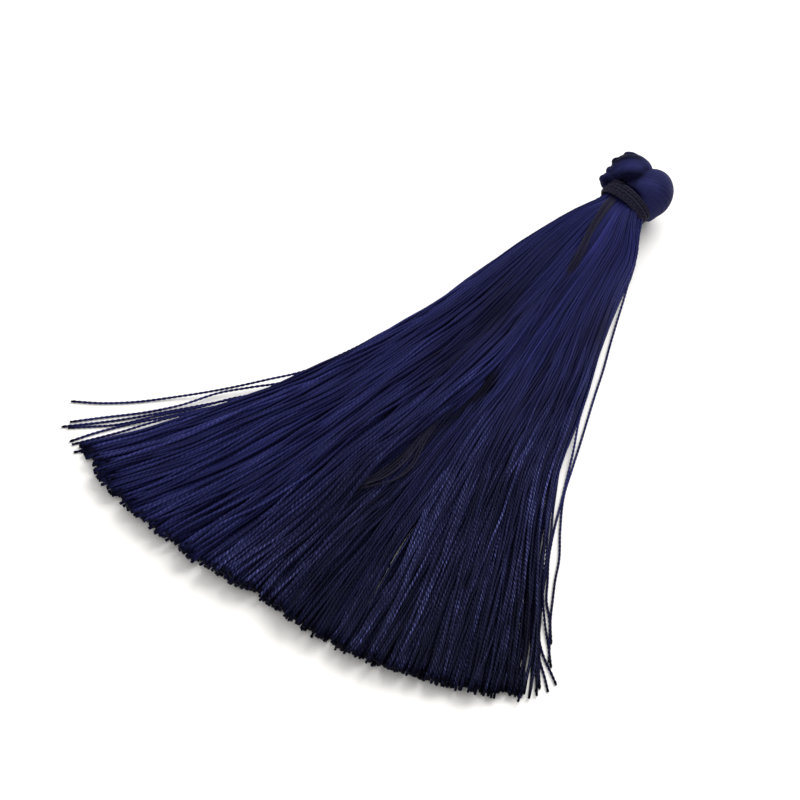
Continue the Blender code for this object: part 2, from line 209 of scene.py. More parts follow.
# The right corner, where the threads stand singly, and the left edge, where they begin to: the side, from
# where across and between which distances, how far the threads sink, and their wander.
SINGLE_EDGES = (
    (1.0, 0.70, (40.0, 70.0), 0.75, ((34.0, 0.7), (21.0, 0.3))),
    (-1.0, 0.86, (38.0, 60.0), 0.60, ((44.0, 0.6), (26.0, 0.25))),
)

# How much longer or shorter the threads are cut, by their place across the skirt, by wisp, and towards the
# top.
CUT_CHANGES = (
    (-1, -1), (-0.9, -0.9), (-0.75, -0.2), (-0.6, -0.5), (-0.4, -0.9), (-0.2, -1.1), (0, -1.6),
    (0.1, -1.1), (0.2, -0.2), (0.4, 0.3), (0.6, 0.1), (0.75, 0), (0.87, -1.2), (1, -1.6),
)
WISP_RAGGED = 0.28
OVERHANG = 1.5  # how much further than the lowest the top threads reach
OVERHANG_FROM = 0.15  # the share of the height at which they are as long as the table says

# The parting, where the edge of the skirt's left half lies over the right half, which sinks a little beside
# it and comes out from under it bit by bit. Each half leans across: distance from the neck, and how far it
# has moved.
PARTING_ACROSS = 0.02
LEFT_LEAN = (
    (0, 0), (10, 0.2), (20, 0.5), (29, 0.7), (34, 0.24), (38, -0.37), (43, -1),
    (48, -1.8), (55, -1.85), (60, -2.2), (66, -2.8), (74, -3.2),
)
RIGHT_LEAN = (
    (0, 0), (12, 0), (20, -0.4), (27, -0.6), (31, -0.4), (35, -0.4), (44, -0.7),
    (50, -1.4), (55, -1.85), (60, -2.2), (66, -2.8), (74, -3.2),
)
PARTING_SINKS = (17.0, 29.0)
PARTING_ENDS = (48.0, 60.0)
PARTING_LIFT = 0.25  # the share of the right half's drop by which the left half rises
PARTING_REACH = 7.5
PARTING_EASE = 0.9
PARTING_SHADE_EDGE = (-0.15, 0.10)
PARTING_SHADE_SOFTNESS = 0.9
PARTING_SHADE = (
    # distance, width of the shade, and how deep it is
    (28, 0, 0), (29.5, 0.7, 0.9), (31.5, 1.5, 0.98), (34.5, 1.8, 0.98), (36.5, 1.3, 0.8),
    (40, 1.1, 0.76), (50, 1.1, 0.76), (57, 0.3, 0),
)

# Where the skirt lies in shade or catches the light: place across, distance from the neck, half width, half
# length, and change of brightness.
SKIRT_LIGHT = (
    (0.75, 3.2, 0.5, 1.6, 0.55), (0.9, 5.2, 0.5, 1.6, 0.55), (1.1, 7.4, 0.5, 1.7, 0.5),
    (1.55, 9.6, 0.5, 1.7, 0.4), (1.6, 12, 0.7, 2, 0.12), (2.2, 7, 2.6, 5, 0.12),
    (-22, 52, 12, 18, 0.1), (-13, 34, 6, 11, -0.1), (-4.6, 19.6, 2.6, 6.5, -0.2),
    (-6.6, 28, 3, 6.5, -0.15), (-11.5, 38, 3, 6, -0.1), (7.6, 17.6, 2, 4.5, -0.38),
    (-1.6, 23.5, 3, 6, -0.18), (9.6, 31, 2.5, 5, -0.14), (0.3, 65.6, 3, 4, -0.16),
    (19, 65.5, 3, 4, -0.18), (4.5, 14, 3, 7, -0.12), (8, 28, 3.5, 10, -0.22),
    (-3.2, 33, 3, 6, -0.28), (-3.9, 9.6, 2.2, 5, -0.18), (-4, 20, 4, 9, -0.2),
    (-0.6, 16, 2.5, 6, -0.12), (11.5, 44, 3, 6, -0.2), (14.5, 58, 4, 8, -0.18),
    (-2.6, 60.5, 3, 6, -0.12), (5.9, 54.7, 2.5, 5, 0.14), (4.8, 62, 3, 4, 0.14),
    (2.6, 30.5, 2, 6, 0.3), (4.4, 41, 2, 5, 0.12), (5.4, 34.7, 2.2, 5, 0.12),
    (-4.8, 48.4, 3, 6, -0.16), (-0.6, 45, 2.5, 5, -0.16), (-1.5, 53, 3, 6, -0.32),
    (1.7, 57.6, 3, 5, -0.18), (-2.6, 32.4, 2.2, 4.5, -0.22), (-1.5, 24.1, 2.2, 4.5, -0.22),
    (7.7, 17.8, 2, 4, -0.12), (11.6, 44.3, 2.5, 4.5, -0.18), (-2.5, 60.6, 3, 4.5, -0.22),
    (0.7, 65.1, 3, 4, -0.18), (-1.5, 53.1, 2.5, 4.5, -0.22), (19.1, 65.1, 3, 4, -0.18),
)
CORNER_SHADE = 0.70
CORNER_SHADE_ACROSS = (0.76, 0.92)
CORNER_SHADE_BETWEEN = (42.0, 58.0)
LEFT_SHADE = 0.16
LOW_LIGHT_LEFT = 3.2  # how much brighter the lowest threads are, in the gaps of the left half
LOW_LIGHT_RIGHT = 0.5
# The streaks are painted light and shade that runs along the wisps.
STREAK_LEFT = 0.6  # how much the wisps differ in brightness
STREAK_RIGHT = 1.6
STREAKS = ((46.0, 0.15), (19.0, 0.09))
# The fade: towards its cut end a thread goes over to its end colour, is darkened as painted shade where the
# threads lie looser, and gets stronger painted highlights on its ply crests.
FADE_FROM = 4.0  # up to here from its cut end a thread has its end's colour
FADE_LENGTH = 42.0  # and over this length that goes over to the thread's own
FADE_LEFT = 0.2  # how much of that the left half has
# The darkening just before the cut end is partly the dark cut fibre ends and partly painted shade, which the
# lower threads show over a longer stretch than the top ones.
TOP_FROM = 0.6  # of the skirt's height; the threads above are dark over a shorter stretch at their ends
TOP_TIP_LONGER = 3.0
LOW_TIP_SHORTER = 0.6

# Threads that leave the skirt: where each one has its root across the skirt, the height share of its root,
# and the points (x, y) of its free part, up to its cut end.
STRAY_ROUTES = (
    (-1, 0.9, ((-19.2, -47.2), (-22.3, -50.6), (-26, -53.9), (-30.3, -57.8), (-32.8, -59.6),
        (-35.5, -61.1))),
    (-1, 0.6, ((-20, -48.6), (-22.5, -51.2), (-25.2, -55), (-27.5, -57.6), (-31.2, -61.2),
        (-33.6, -63.6))),
    (-1, 0.3, ((-21, -50.9), (-23.4, -54.2), (-26.2, -57.4), (-28.8, -60.7), (-33.2, -64.4))),
    (-0.99, 0.3, ((-21.4, -51.6), (-25.3, -56), (-29.2, -60.2), (-33.9, -64.7))),
    (-0.98, 0.4, ((-22, -53.4), (-25.6, -57.6), (-28.6, -61), (-30.4, -63.5), (-31.8, -65.9))),
    (-0.97, 0.5, ((-22.4, -54.4), (-25.4, -58), (-28.3, -62), (-31.3, -66.1))),
    (-0.96, 0.3, ((-22.4, -54.8), (-25.6, -59.6), (-28.5, -64.3), (-30.4, -66.9))),
    (0.95, 0.3, ((5.55, -11), (6.45, -13.5), (7.45, -16.5), (8.79, -20.34), (10.21, -24.13),
        (11.48, -27.95), (12.8, -31.74), (14.1, -35.44), (15.3, -39.02), (16.4, -42.2), (18.8, -46.9),
        (20.9, -50.5), (22, -53), (23.2, -55.4), (24.5, -57.9), (26.1, -60.3))),
    (0.97, 0.5, ((12.4, -32.9), (14, -36.5), (15.4, -40), (16.6, -43), (18.4, -47.6), (20, -51.1),
        (21.4, -53.5), (22.7, -55.8), (24.4, -57.9), (25.9, -60.3), (27.2, -62.5))),
    (0.96, 0.4, ((19.6, -51.6), (21.6, -55.1), (23.2, -58), (24.7, -60.4), (26.5, -62.3), (28.2, -63.6),
        (29.3, -64.5))),
    (0.95, 0.3, ((20.2, -52.6), (22.4, -56.9), (23.6, -59.3), (24.6, -60.8), (26.3, -62.8), (28.1, -64.6),
        (29.1, -65.7))),
    (0.95, 0.3, ((20.4, -53.6), (23.4, -59.3), (25, -61.8), (26.7, -63.7), (28.2, -65.8))),
    (0.97, 0.6, ((20.2, -52), (21.5, -54.6), (23.3, -57.3), (24.6, -59), (26.4, -61.2), (27.7, -62.9))),
    (0.93, 0.3, ((19.4, -52.4), (21.5, -56.5), (24.2, -61.1), (25.6, -63.2), (27.1, -65.5))),
    (0.93, 0.3, ((18.4, -53), (22.2, -60.6), (25.3, -66.6), (26.2, -68.2))),
    (0.9, 0.5, ((17.8, -53.4), (21.3, -61), (24.9, -68.8))),
    (0.08, 0.2, ((4.3, -62), (4.5, -68), (5.1, -71.7), (5.6, -73.3))),
    (0.2, 0.3, ((7.4, -62), (8.4, -69), (8.2, -72.8))),
)
STRAY_THICKER = 1.05  # a loose thread's plies open a little
STRAY_TONES = (0.55, 0.8)
STRAY_LEAD_SPACING = 2.5
STRAY_SHADE_X = (12.0, 17.0)
STRAY_SHADE_BETWEEN = (36.0, 52.0)
FREE_Z = 0.17
FREE_DROP = 9.0  # how far past the skirt's edge a loose thread reaches the floor

# The binding.
BINDING_HALF_LENGTH = 1.0
BINDING_STEPS = 48  # a turn
BINDING_PITCH = 1.16
CHARCOAL_PITCH = 0.62  # of the finer twist in the material
BINDING_PROUD = 0.20
LAYER_RISE = 0.22
LAYER_RISES = (0.95, 1.08)  # share of the first layer's length
BINDING_WANDER_OUT = ((0.31, 0.035), (0.17, 0.021))
BINDING_WANDER_ALONG = ((0.41, 0.05), (0.13, 0.025))

# The binding's free end, from its outermost strand to its innermost.
TAIL_START_ANGLE = math.radians(100.0)
TAIL_ROUTE = (
    # x of both strands, distance from the neck of both, and share of the skirt's height
    (-0.95, -0.95, -0.3, -0.3, 0.8), (-0.75, -0.75, 1.5, 1.5, 0.93), (-0.4, -0.4, 3.7, 3.7, 0.975),
    (-0.22, -0.22, 5.7, 5.7, 0.99), (0.05, 0.05, 8, 8, 1), (0.45, 0.45, 10, 10, 1),
    (0.72, 0.72, 12, 12, 0.97), (0.85, 0.85, 14.5, 14.5, 0.88), (0.9, 0.9, 18, 18, 0.7),
    (0.8, 0.8, 23, 23, 0.6), (0.62, 0.55, 28.5, 28.5, 0.44), (0.6, 0.1, 33, 33, 0.46),
    (0.25, -0.4, 38, 38, 0.6), (0.35, -0.25, 42, 42.5, 0.62), (1.35, -0.5, 45.8, 46, 0.64),
    (1.05, -0.9, 48.6, 48.8, 0.66), (-0.15, -1.3, 50.5, 50.6, 0.68), (-1.75, -1.75, 52.8, 51.8, 0.7),
)
TAIL_STATIONS = 90
TAIL_SPACING = 0.74
TAIL_THINNER = 0.58
TAIL_TONES = (0.2, 0.9)
TAIL_TOGETHER_UNTIL = (24.0, 34.0)
TAIL_GATHERED = 0.8
TAIL_LOOPS_START = (33.0, 42.0)
TAIL_LOOPS_END = (48.0, 52.0)
TAIL_LOOP_SPREAD = (-0.28, 0.28)
TAIL_PROUD = 0.09
TAIL_PROUD_NECK = 0.26
TAIL_PROUD_UNTIL = (11.0, 17.0)
TAIL_WAVER_ACROSS = (0.12, (3.0, 5.0))  # how far, and over what length
TAIL_WAVER_UP = (0.05, (2.0, 4.0))
TAIL_LIGHT = ((10.0, 0.95), (16.0, 0.7), (28.0, 0.08), (36.0, 0.15), (42.0, 0.95))  # distance, and brightness

# How each kind of thread is finished, beside its colours: the height of its twist, how much the threads
# differ in tone, and the gloss and sheen on them.
SKIRT_FINISH = {"relief": 0.045, "spread": 0.6, "gloss": 0.07, "sheen": 0.03, "tint": (0.40, 0.42, 1.0)}
HEAD_FINISH = {"relief": 0.004, "spread": 0.12, "gloss": 0.035, "sheen": 0.01, "tint": (0.42, 0.44, 1.0)}
CHARCOAL_FINISH = {"relief": 0.012, "spread": 0.3, "gloss": 0.05, "sheen": 0.02, "tint": (0.7, 0.7, 1.0)}

# The stage, in metres. The camera's image is taken to be 800 by 800.
LAMP_PLACE = Vector((0.10, 0.40, 0.46))
LAMP_SIZE = 0.55
LOOK_AT = Vector((-5.8985, -40.4906, 0.0)) * METRES_PER_MM
CAMERA_PLACE = Vector((111.7510, -212.9583, 215.4379)) * METRES_PER_MM
CAMERA_LENS = 122.985
CAMERA_SENSOR = 36.0


# ---- Settings ----

def length_setting(name, description, default, precision=5):
    return FloatProperty(
        name=name, description=description, default=default, unit="LENGTH", precision=precision
    )


def colour_setting(name, description, default):
    return FloatVectorProperty(name=name, description=description, default=default, subtype="COLOR")


class SkirtSettings(bpy.types.PropertyGroup):
    """Sizes and colours of the skirt's threads."""

    thread_count: IntProperty(name="Threads", description="Threads in the skirt", default=920, min=50)
    thread_diameter: length_setting("Thread diameter", "Thickness of one loose thread", 0.00028)
    thread_length: length_setting("Thread length", "From the neck to the cut ends", 0.070, precision=4)
    twist_pitch: length_setting("Twist pitch", "Length of one full turn of the two plies", 0.00116)
    ragged_end: length_setting("Ragged ends", "How unevenly the ends are cut", 0.00036)
    wisp_count: IntProperty(name="Wisps", description="Groups that the threads cling together in", default=58)
    parting_drop: length_setting("Parting drop", "How far the right half sinks", 0.0013)
    seed: IntProperty(name="Seed", description="Chooses one of many like arrangements", default=11)
    body_colour: colour_setting("Thread", "The thread between its highlights", (0.0095, 0.0105, 0.056))
    crest_colour: colour_setting("Ply crests", "Where a ply catches the light", (0.060, 0.064, 0.175))
    # The groove colour is painted shade between the plies.
    groove_shade_colour: colour_setting("Grooves", "Between the plies", (0.0035, 0.0040, 0.017))
    # Towards its cut end the thread goes over to the end colour, and the fade darkens it there as painted
    # shade.
    end_colour: colour_setting("Ends", "The thread towards its cut end", (0.0075, 0.0085, 0.028))


class HeadSettings(bpy.types.PropertyGroup):
    """Sizes and colours of the threads over the head."""

    thread_count: IntProperty(name="Threads", description="Threads round each rope", default=74)
    thread_diameter: length_setting("Thread diameter", "Thickness of a drawn-tight thread", 0.00023)
    strand_count: IntProperty(name="Strands", description="Coarse strands in each rope", default=9)
    body_colour: colour_setting("Thread", "The head's threads", (0.0145, 0.0155, 0.060))
    crest_colour: colour_setting("Highlights", "Where the head catches the light", (0.0215, 0.0230, 0.086))


class BindingSettings(bpy.types.PropertyGroup):
    """Sizes and colours of the wound thread."""

    turns: IntProperty(name="Turns", description="Turns in each of the two layers", default=7)
    thread_diameter: length_setting("Thread diameter", "Thickness of the wound thread", 0.00030)
    tail_strands: IntProperty(name="Tail strands", description="Strands of the free end", default=7)
    body_colour: colour_setting("Thread", "The wound thread", (0.0150, 0.0138, 0.0265))
    crest_colour: colour_setting("Ply crests", "Where a ply catches the light", (0.020, 0.018, 0.032))


class StageSettings(bpy.types.PropertyGroup):
    """The floor and the light."""

    floor_side: length_setting("Floor side", "Side of the square floor", 1.6, precision=2)
    floor_colour: colour_setting("Floor", "The pale surface", (0.93, 0.915, 0.89))
    sky_strength: FloatProperty(name="Sky", description="Brightness of the white surroundings", default=0.86)
    lamp_power: FloatProperty(name="Lamp", description="Power of the soft lamp", default=3.9, unit="POWER")


# ---- Helpers and curves ----

def add_object(name, data):
    made = bpy.data.objects.new(name, data)
    bpy.context.scene.collection.objects.link(made)
    return made


def in_mm(metres):
    return metres / METRES_PER_MM


def unit(vectors):
    return vectors / np.maximum(np.linalg.norm(vectors, axis=-1, keepdims=True), TINY)


def blend(first, second, share):
    return first + share * (second - first)


def smooth_step(low, high, value):
    share = np.clip((value - low) / (high - low), 0.0, 1.0)
    return share * share * (3.0 - 2.0 * share)


def between(start, end, start_slope, end_slope, t):
    """A smooth curve from start to end, as t goes from 0 to 1."""
    leaving = start * (1 + 2 * t) * (1 - t) ** 2 + start_slope * t * (1 - t) ** 2
    arriving = end * t * t * (3 - 2 * t) + end_slope * t * t * (t - 1)
    return leaving + arriving


def smooth_curve(stations, values, at):
    """Values between the stations, on one smooth curve through all of them."""
    slopes = np.gradient(values, stations)
    at = np.clip(at, stations[0], stations[-1])
    row = np.clip(np.searchsorted(stations, at) - 1, 0, len(stations) - 2)
    span = stations[row + 1] - stations[row]
    return between(values[row], values[row + 1], slopes[row] * span, slopes[row + 1] * span,
                   (at - stations[row]) / span)


def from_table(table, at, column=1):
    """A column of a table, on a smooth curve over its first column."""
    rows = np.array(table)
    return smooth_curve(rows[:, 0], rows[:, column], at)


def at_stations(values, at):
    """Reads each row of values, which lie at whole stations, at its own row of places, on a smooth curve."""
    slopes = np.gradient(values, axis=1)
    row = np.clip(at.astype(int), 0, values.shape[1] - 2)
    ends = [np.take_along_axis(table, place, 1) for table in (values, slopes) for place in (row, row + 1)]
    return between(*ends, at - row)


def waves(random, count, at, wander):
    """A smooth wander for each of count threads: a sum of sines with phases of its own."""
    total = np.zeros((count, len(at)))
    for period, amplitude in wander:
        phase = random.uniform(0, FULL_TURN, (count, 1))
        stretch = random.uniform(*WAVE_STRETCH, (count, 1))
        total += amplitude * np.sin(FULL_TURN * stretch * at / period + phase)
    return total


def length_along(points):
    """How far each point lies from the start of its line."""
    steps = np.linalg.norm(np.diff(points, axis=-2), axis=-1)
    return np.concatenate([np.zeros((*steps.shape[:-1], 1)), np.cumsum(steps, axis=-1)], axis=-1)


def resample(line, spacing):
    """The same line with points at an even spacing."""
    along = length_along(line)
    at = np.linspace(0.0, along[-1], max(3, int(along[-1] / spacing) + 1))
    return np.stack([smooth_curve(along, line[:, axis], at) for axis in range(3)], axis=-1)


def resample_to(line, count):
    at = np.linspace(0.0, len(line) - 1.0, count)
    return np.stack([np.interp(at, np.arange(len(line)), line[:, axis]) for axis in range(3)], axis=-1)


def square_to(points, up):
    """Two directions square to each line: sideways, and on the side that up points to."""
    tangent = unit(np.gradient(points, axis=-2))
    side = unit(np.cross(tangent, up))
    return side, np.cross(side, tangent)


# ---- The lie of the threads ----

def skirt_section(across, share_up, distance):
    """Points of the skirt: across from -1 to 1, share_up from 0 below to 1 on top, distance from the neck."""
    left, right, top, edge, under = (from_table(SKIRT_SECTIONS, distance, column) for column in range(1, 6))
    flat_x = across * np.where(across < 0, left, right)
    crown = top * (1 - (1 - edge) * np.abs(across) ** TOP_ROUNDING)
    flat_z = under + share_up * (crown - under)
    raised = 2 * share_up - 1
    round_x = 0.5 * (right - left) + 0.5 * (left + right) * across * np.sqrt(1 - 0.5 * raised ** 2)
    round_z = 0.5 * (top + under) + 0.5 * (top - under) * raised * np.sqrt(1 - 0.5 * across ** 2)
    flatness = smooth_step(ROUND_UNTIL, FLAT_FROM, distance)
    return blend(round_x, flat_x, flatness), SKIRT_START_Y - distance, blend(round_z, flat_z, flatness)


def drawn_radius(stations, count, loose_radius):
    """A thread's radius: drawn tight near the neck, and its own where the skirt has room for it."""
    left, right, top, edge, under = (from_table(SKIRT_SECTIONS, stations, column) for column in range(1, 6))
    area = (left + right) * (top * (1 - (1 - edge) / (1 + TOP_ROUNDING)) - under)
    area *= 1 - (1 - math.pi / 4) * (1 - smooth_step(ROUND_UNTIL, FLAT_FROM, stations))
    return np.minimum(loose_radius, np.sqrt(PACKING * area / (math.pi * count)))


def neck_frame():
    """The side, length and up directions of the head and the neck."""
    side = np.array([math.cos(NECK_TURN), -math.sin(NECK_TURN), 0.0])
    level = np.array([math.sin(NECK_TURN), math.cos(NECK_TURN), 0.0])
    length = math.cos(NECK_RISE) * level + math.sin(NECK_RISE) * UP
    return side, length, np.cross(side, length)


def neck_points(angle, along, proud):
    """Points round the neck, standing proud of it, at a distance along it from its middle."""
    side, length, up = neck_frame()
    angle, along, proud = (value[:, None] for value in (angle, along, proud))
    across = (NECK_HALF_WIDTH + proud) * np.cos(angle) * side
    return NECK_CENTRE + across + (NECK_HALF_HEIGHT + proud) * np.sin(angle) * up + along * length


def smooth_along(values):
    smooth = values.copy()
    smooth[:, 1:-1] = 0.25 * values[:, :-2] + 0.5 * values[:, 1:-1] + 0.25 * values[:, 2:]
    return smooth


def settle(x, z, radius):
    """Pushes threads that overlap apart, station by station, and keeps each one smooth along its length."""
    home_x, home_z = x.copy(), z.copy()
    for _ in range(SETTLE_ROUNDS):
        order = np.argsort(x, axis=0)
        sorted_x, sorted_z = np.take_along_axis(x, order, 0), np.take_along_axis(z, order, 0)
        push_x, push_z = np.zeros_like(x), np.zeros_like(z)
        for k in range(1, SETTLE_NEIGHBOURS + 1):
            dx, dz = sorted_x[k:] - sorted_x[:-k], sorted_z[k:] - sorted_z[:-k]
            apart = np.sqrt(dx * dx + dz * dz) + TINY
            overlap = np.clip(2 * radius - apart, 0.0, None) * (0.5 * SETTLE_STEP) / apart
            for push, way in ((push_x, dx), (push_z, dz)):
                push[k:] += overlap * way
                push[:-k] -= overlap * way
        moved_x, moved_z = np.empty_like(x), np.empty_like(z)
        np.put_along_axis(moved_x, order, push_x, 0)
        np.put_along_axis(moved_z, order, push_z, 0)
        x = home_x + smooth_along((x - home_x + moved_x) * (1 - SETTLE_PULL))
        z = home_z + smooth_along((z - home_z + moved_z) * (1 - SETTLE_PULL))
        z = np.maximum(z, radius)
    return x, z


def thread_seats(random, count):
    """Where each thread sits, layer by layer: across from -1 to 1, and up from 0 to 1."""
    grid = np.linspace(-1.0, 1.0, SEAT_STEPS)
    density = np.ones_like(grid)
    for sparser, start, end in SPARSE_EDGES:
        density -= sparser * smooth_step(start, end, grid)
    share = np.concatenate([[0.0], np.cumsum(0.5 * (density[1:] + density[:-1]))])
    share /= share[-1]
    layer = np.arange(count) % LAYER_COUNT
    in_layer = np.arange(count) // LAYER_COUNT
    loose_seat = random.uniform(*SEAT_SCATTER, count)
    place = (in_layer + np.where(layer == 0, 0.5, loose_seat)) / math.ceil(count / LAYER_COUNT)
    across = np.interp(place, share, grid)
    up = (layer + 0.5 + random.uniform(*HEIGHT_SCATTER, count)) / LAYER_COUNT
    low = np.linspace(9, count - 9, PARTING_THREADS).astype(int)
    across[low] = PARTING_ACROSS + random.uniform(*PARTING_THREAD_PLACES, PARTING_THREADS)
    up[low] = random.uniform(*PARTING_THREAD_HEIGHTS, PARTING_THREADS)
    return across, up


def thread_wisps(random, across, up, wisps):
    """The wisp that each thread clings to; the upper threads' wisps come first."""
    wisp = ((across + 1) / 2 + random.normal(0, WISP_SPREAD, len(across))) * wisps
    wisp = np.clip(wisp, 0, wisps - 1).astype(int)
    return np.where(up > 0.5, wisp, wisp + wisps)


def loosen(settings, random, across, up, stations, x, z):
    """Lets the threads wander alone, in wisps, over each other and at the edges. Returns their wisps."""
    count = len(across)
    height = up[:, None]
    loose = smooth_step(*LOOSE_BETWEEN, stations)
    looser = smooth_step(*LOOSER_BETWEEN, stations)
    freedom = np.where(height < 1.0 / LAYER_COUNT, LOWEST_FREEDOM, 1.0)
    x += freedom * (loose + LOOSER_SHARE * looser) * waves(random, count, stations, THREAD_WANDER_X)
    z += loose * waves(random, count, stations, THREAD_WANDER_Z)

    wisp = thread_wisps(random, across, up, settings.wisp_count)
    wisps = range(2 * settings.wisp_count)
    wander_x = waves(random, len(wisps), stations, WISP_WANDER_X)
    wander_z = waves(random, len(wisps), stations, WISP_WANDER_Z)
    mean_cling, change = WISP_CLING
    phase = FULL_TURN * random.uniform(0, 1, (len(wisps), 1))
    cling = mean_cling + change * np.sin(phase + stations / CLING_PERIOD)
    empty = np.zeros(len(stations))
    centre = np.array([x[wisp == w].mean(axis=0) if (wisp == w).any() else empty for w in wisps])
    x += freedom * loose * (wander_x[wisp] + cling[wisp] * (centre[wisp] - x))
    z += loose * wander_z[wisp] * height

    crossing = ((up > CROSSING_ABOVE) & (random.uniform(0, 1, count) < CROSSING_SHARE))[:, None]
    crossing_at = random.uniform(*CROSSING_START, (count, 1))
    crossing_by = random.normal(0.0, CROSSING_SPREAD, (count, 1)) * crossing
    x += crossing_by * smooth_step(crossing_at, crossing_at + CROSSING_LENGTH, stations)
    z += CROSSING_LIFT * crossing * loose

    for side, start, stretch, sink, wander in SINGLE_EDGES:
        single = smooth_step(start, 1.0, side * across[:, None]) * smooth_step(*stretch, stations)
        x += single * waves(random, count, stations, wander)
        z -= sink * single * z
    return wisp


def part(across, up, stations, drop, x, z):
    """Leans both halves across, and sinks the right one beside the parting."""
    across = across[:, None]
    half = np.where(across < PARTING_ACROSS, -1.0, 1.0)
    from_middle = half * (across - PARTING_ACROSS) * from_table(SKIRT_SECTIONS, stations, RIGHT)
    near = np.clip(1.0 - from_middle / PARTING_REACH, 0.0, 1.0) ** PARTING_EASE
    x += near * np.where(half < 0, from_table(LEFT_LEAN, stations), from_table(RIGHT_LEAN, stations))
    sunk = smooth_step(*PARTING_SINKS, stations) * (1.0 - smooth_step(*PARTING_ENDS, stations))
    z -= np.where(half > 0, 1.0, -PARTING_LIFT) * up[:, None] * near * sunk * drop


def cut_lengths(settings, random, across, up, wisp):
    """How long each thread is, from the neck along its seat."""
    length = in_mm(settings.thread_length) + in_mm(settings.ragged_end) * random.uniform(-1, 1, len(across))
    length += WISP_RAGGED * random.uniform(-1, 1, 2 * settings.wisp_count)[wisp]
    length += np.interp(across, *np.array(CUT_CHANGES).T)
    return length + OVERHANG * (up - OVERHANG_FROM) * smooth_step(*OVERHANG_ACROSS, across)


def parting_shade(x, distance):
    """How dark it is beside the left half's edge, from 0 in the open."""
    stations, widths, depths = np.array(PARTING_SHADE).T
    edge = PARTING_ACROSS * from_table(SKIRT_SECTIONS, distance, RIGHT) + from_table(LEFT_LEAN, distance)
    width = np.interp(distance, stations, widths)
    inside = smooth_step(*PARTING_SHADE_EDGE, x - edge)
    inside = inside * (1.0 - smooth_step(width, width + PARTING_SHADE_SOFTNESS, x - edge))
    return inside * np.interp(distance, stations, depths)


def skirt_light(x, distance, across, up, streaks):
    """How much brighter or darker than the rest the threads show, place by place."""
    corner = smooth_step(*CORNER_SHADE_ACROSS, across) * smooth_step(*CORNER_SHADE_BETWEEN, distance)
    light = 1.0 - CORNER_SHADE * corner - LEFT_SHADE * smooth_step(*SHADE_ACROSS, across)
    for place_x, place, half_width, half_length, change in SKIRT_LIGHT:
        away = ((x - place_x) / half_width) ** 2 + ((distance - place) / half_length) ** 2
        light = light + change * np.exp(-away)
    light = light * (1.0 + streaks * blend(STREAK_LEFT, STREAK_RIGHT, smooth_step(*STREAKS_ACROSS, across)))
    light = light * (1.0 - (across >= PARTING_ACROSS) * parting_shade(x, distance))
    low_light = blend(LOW_LIGHT_RIGHT, LOW_LIGHT_LEFT, smooth_step(*LOW_LIGHT_ACROSS, across))
    return light * (1.0 + (1.0 - up) * low_light)


def skirt_bundle(settings):
    """The skirt's threads: their points, radius and looks, and their places across."""
    random = np.random.default_rng(settings.seed)
    count = settings.thread_count
    stations = np.arange(SKIRT_FIRST, LONGEST_REACH + SKIRT_STATION, SKIRT_STATION)
    across, up = thread_seats(random, count)
    x, _, z = skirt_section(across[:, None], up[:, None], stations)
    steps = np.hypot(np.diff(x, axis=1), SKIRT_STATION)
    wisp = loosen(settings, random, across, up, stations, x, z)
    part(across, up, stations, in_mm(settings.parting_drop), x, z)
    radius = drawn_radius(stations, count, 0.5 * in_mm(settings.thread_diameter))
    x, z = settle(x, z, radius[None, :])

    # Every thread is cut at its length, measured along its seat, and gets as many points as the others.
    along = np.concatenate([np.zeros((count, 1)), np.cumsum(steps, axis=1)], axis=1) + SKIRT_FIRST
    length = cut_lengths(settings, random, across, up, wisp)
    last = np.array([np.interp(cut, row, np.arange(len(stations))) for cut, row in zip(length, along)])
    at = np.linspace(0.0, 1.0, THREAD_STATIONS) * last[:, None]
    distance = SKIRT_FIRST + at * SKIRT_STATION
    points = np.stack([at_stations(x, at), SKIRT_START_Y - distance, at_stations(z, at)], axis=-1)
    crimp = smooth_step(*CRIMP_BETWEEN, distance) * CRIMP
    for axis in (0, 2):
        phase = random.uniform(0, FULL_TURN, (count, 1))
        period = random.uniform(*CRIMP_PERIODS, (count, 1))
        points[..., axis] += crimp * np.sin(FULL_TURN * distance / period + phase)

    across, up = across[:, None], up[:, None]
    swell = 1.0 + LEFT_THICKER * smooth_step(*THICKER_ACROSS, across)
    swell = np.where((up < LOW_BELOW) & (across < SINGLE_FROM), LOW_THICKER, swell)
    thick = np.interp(distance, stations, radius) * swell
    points[..., 2] = np.maximum(points[..., 2], thick)

    wisp_tones = random.uniform(0, 1, 2 * settings.wisp_count)[wisp]
    tone = 0.5 * wisp_tones + 0.5 * random.uniform(0, 1, count)
    tip = (last[:, None] - at) * SKIRT_STATION
    # The fade carries painted shade and stronger painted highlights towards the cut end, less of both in the
    # left half.
    fade = np.clip(1.0 - (tip - FADE_FROM) / FADE_LENGTH, 0.0, 1.0)
    fade = fade * blend(FADE_LEFT, 1.0, smooth_step(*FADE_ACROSS, across))
    streaks = waves(np.random.default_rng(settings.seed + 2), 2 * settings.wisp_count, stations, STREAKS)
    looks = {
        "tone": tone[:, None],
        "tip": tip * np.where(up > TOP_FROM, TOP_TIP_LONGER, LOW_TIP_SHORTER),
        "fade": fade,
        "light": skirt_light(points[..., 0], distance, across, up, at_stations(streaks[wisp], at)),
    }
    return points, thick, looks, across[:, 0]


# ---- Thread meshes ----

THREAD_SIDES = 5
THREAD_MAP = "thread"
BAKE_MAP = "OFBake"
BAKE_STRIP_SHARE = 0.9  # of a thread's strip in the bake map, so that the strips stay apart
BAKE_LENGTH = (0.01, 0.99)
BAKE_CAPS = ((0.005, 0.3), (0.995, -0.3))  # where along the strip a cut end lies, and how wide it is
BAKE_CAP_LENGTH = 0.003
PLY_STEPS = 7  # a turn
PLY_OFFSET = 0.22  # of the thread's diameter, from its middle to a ply's
PLY_RADIUS = 0.32  # of the thread's diameter


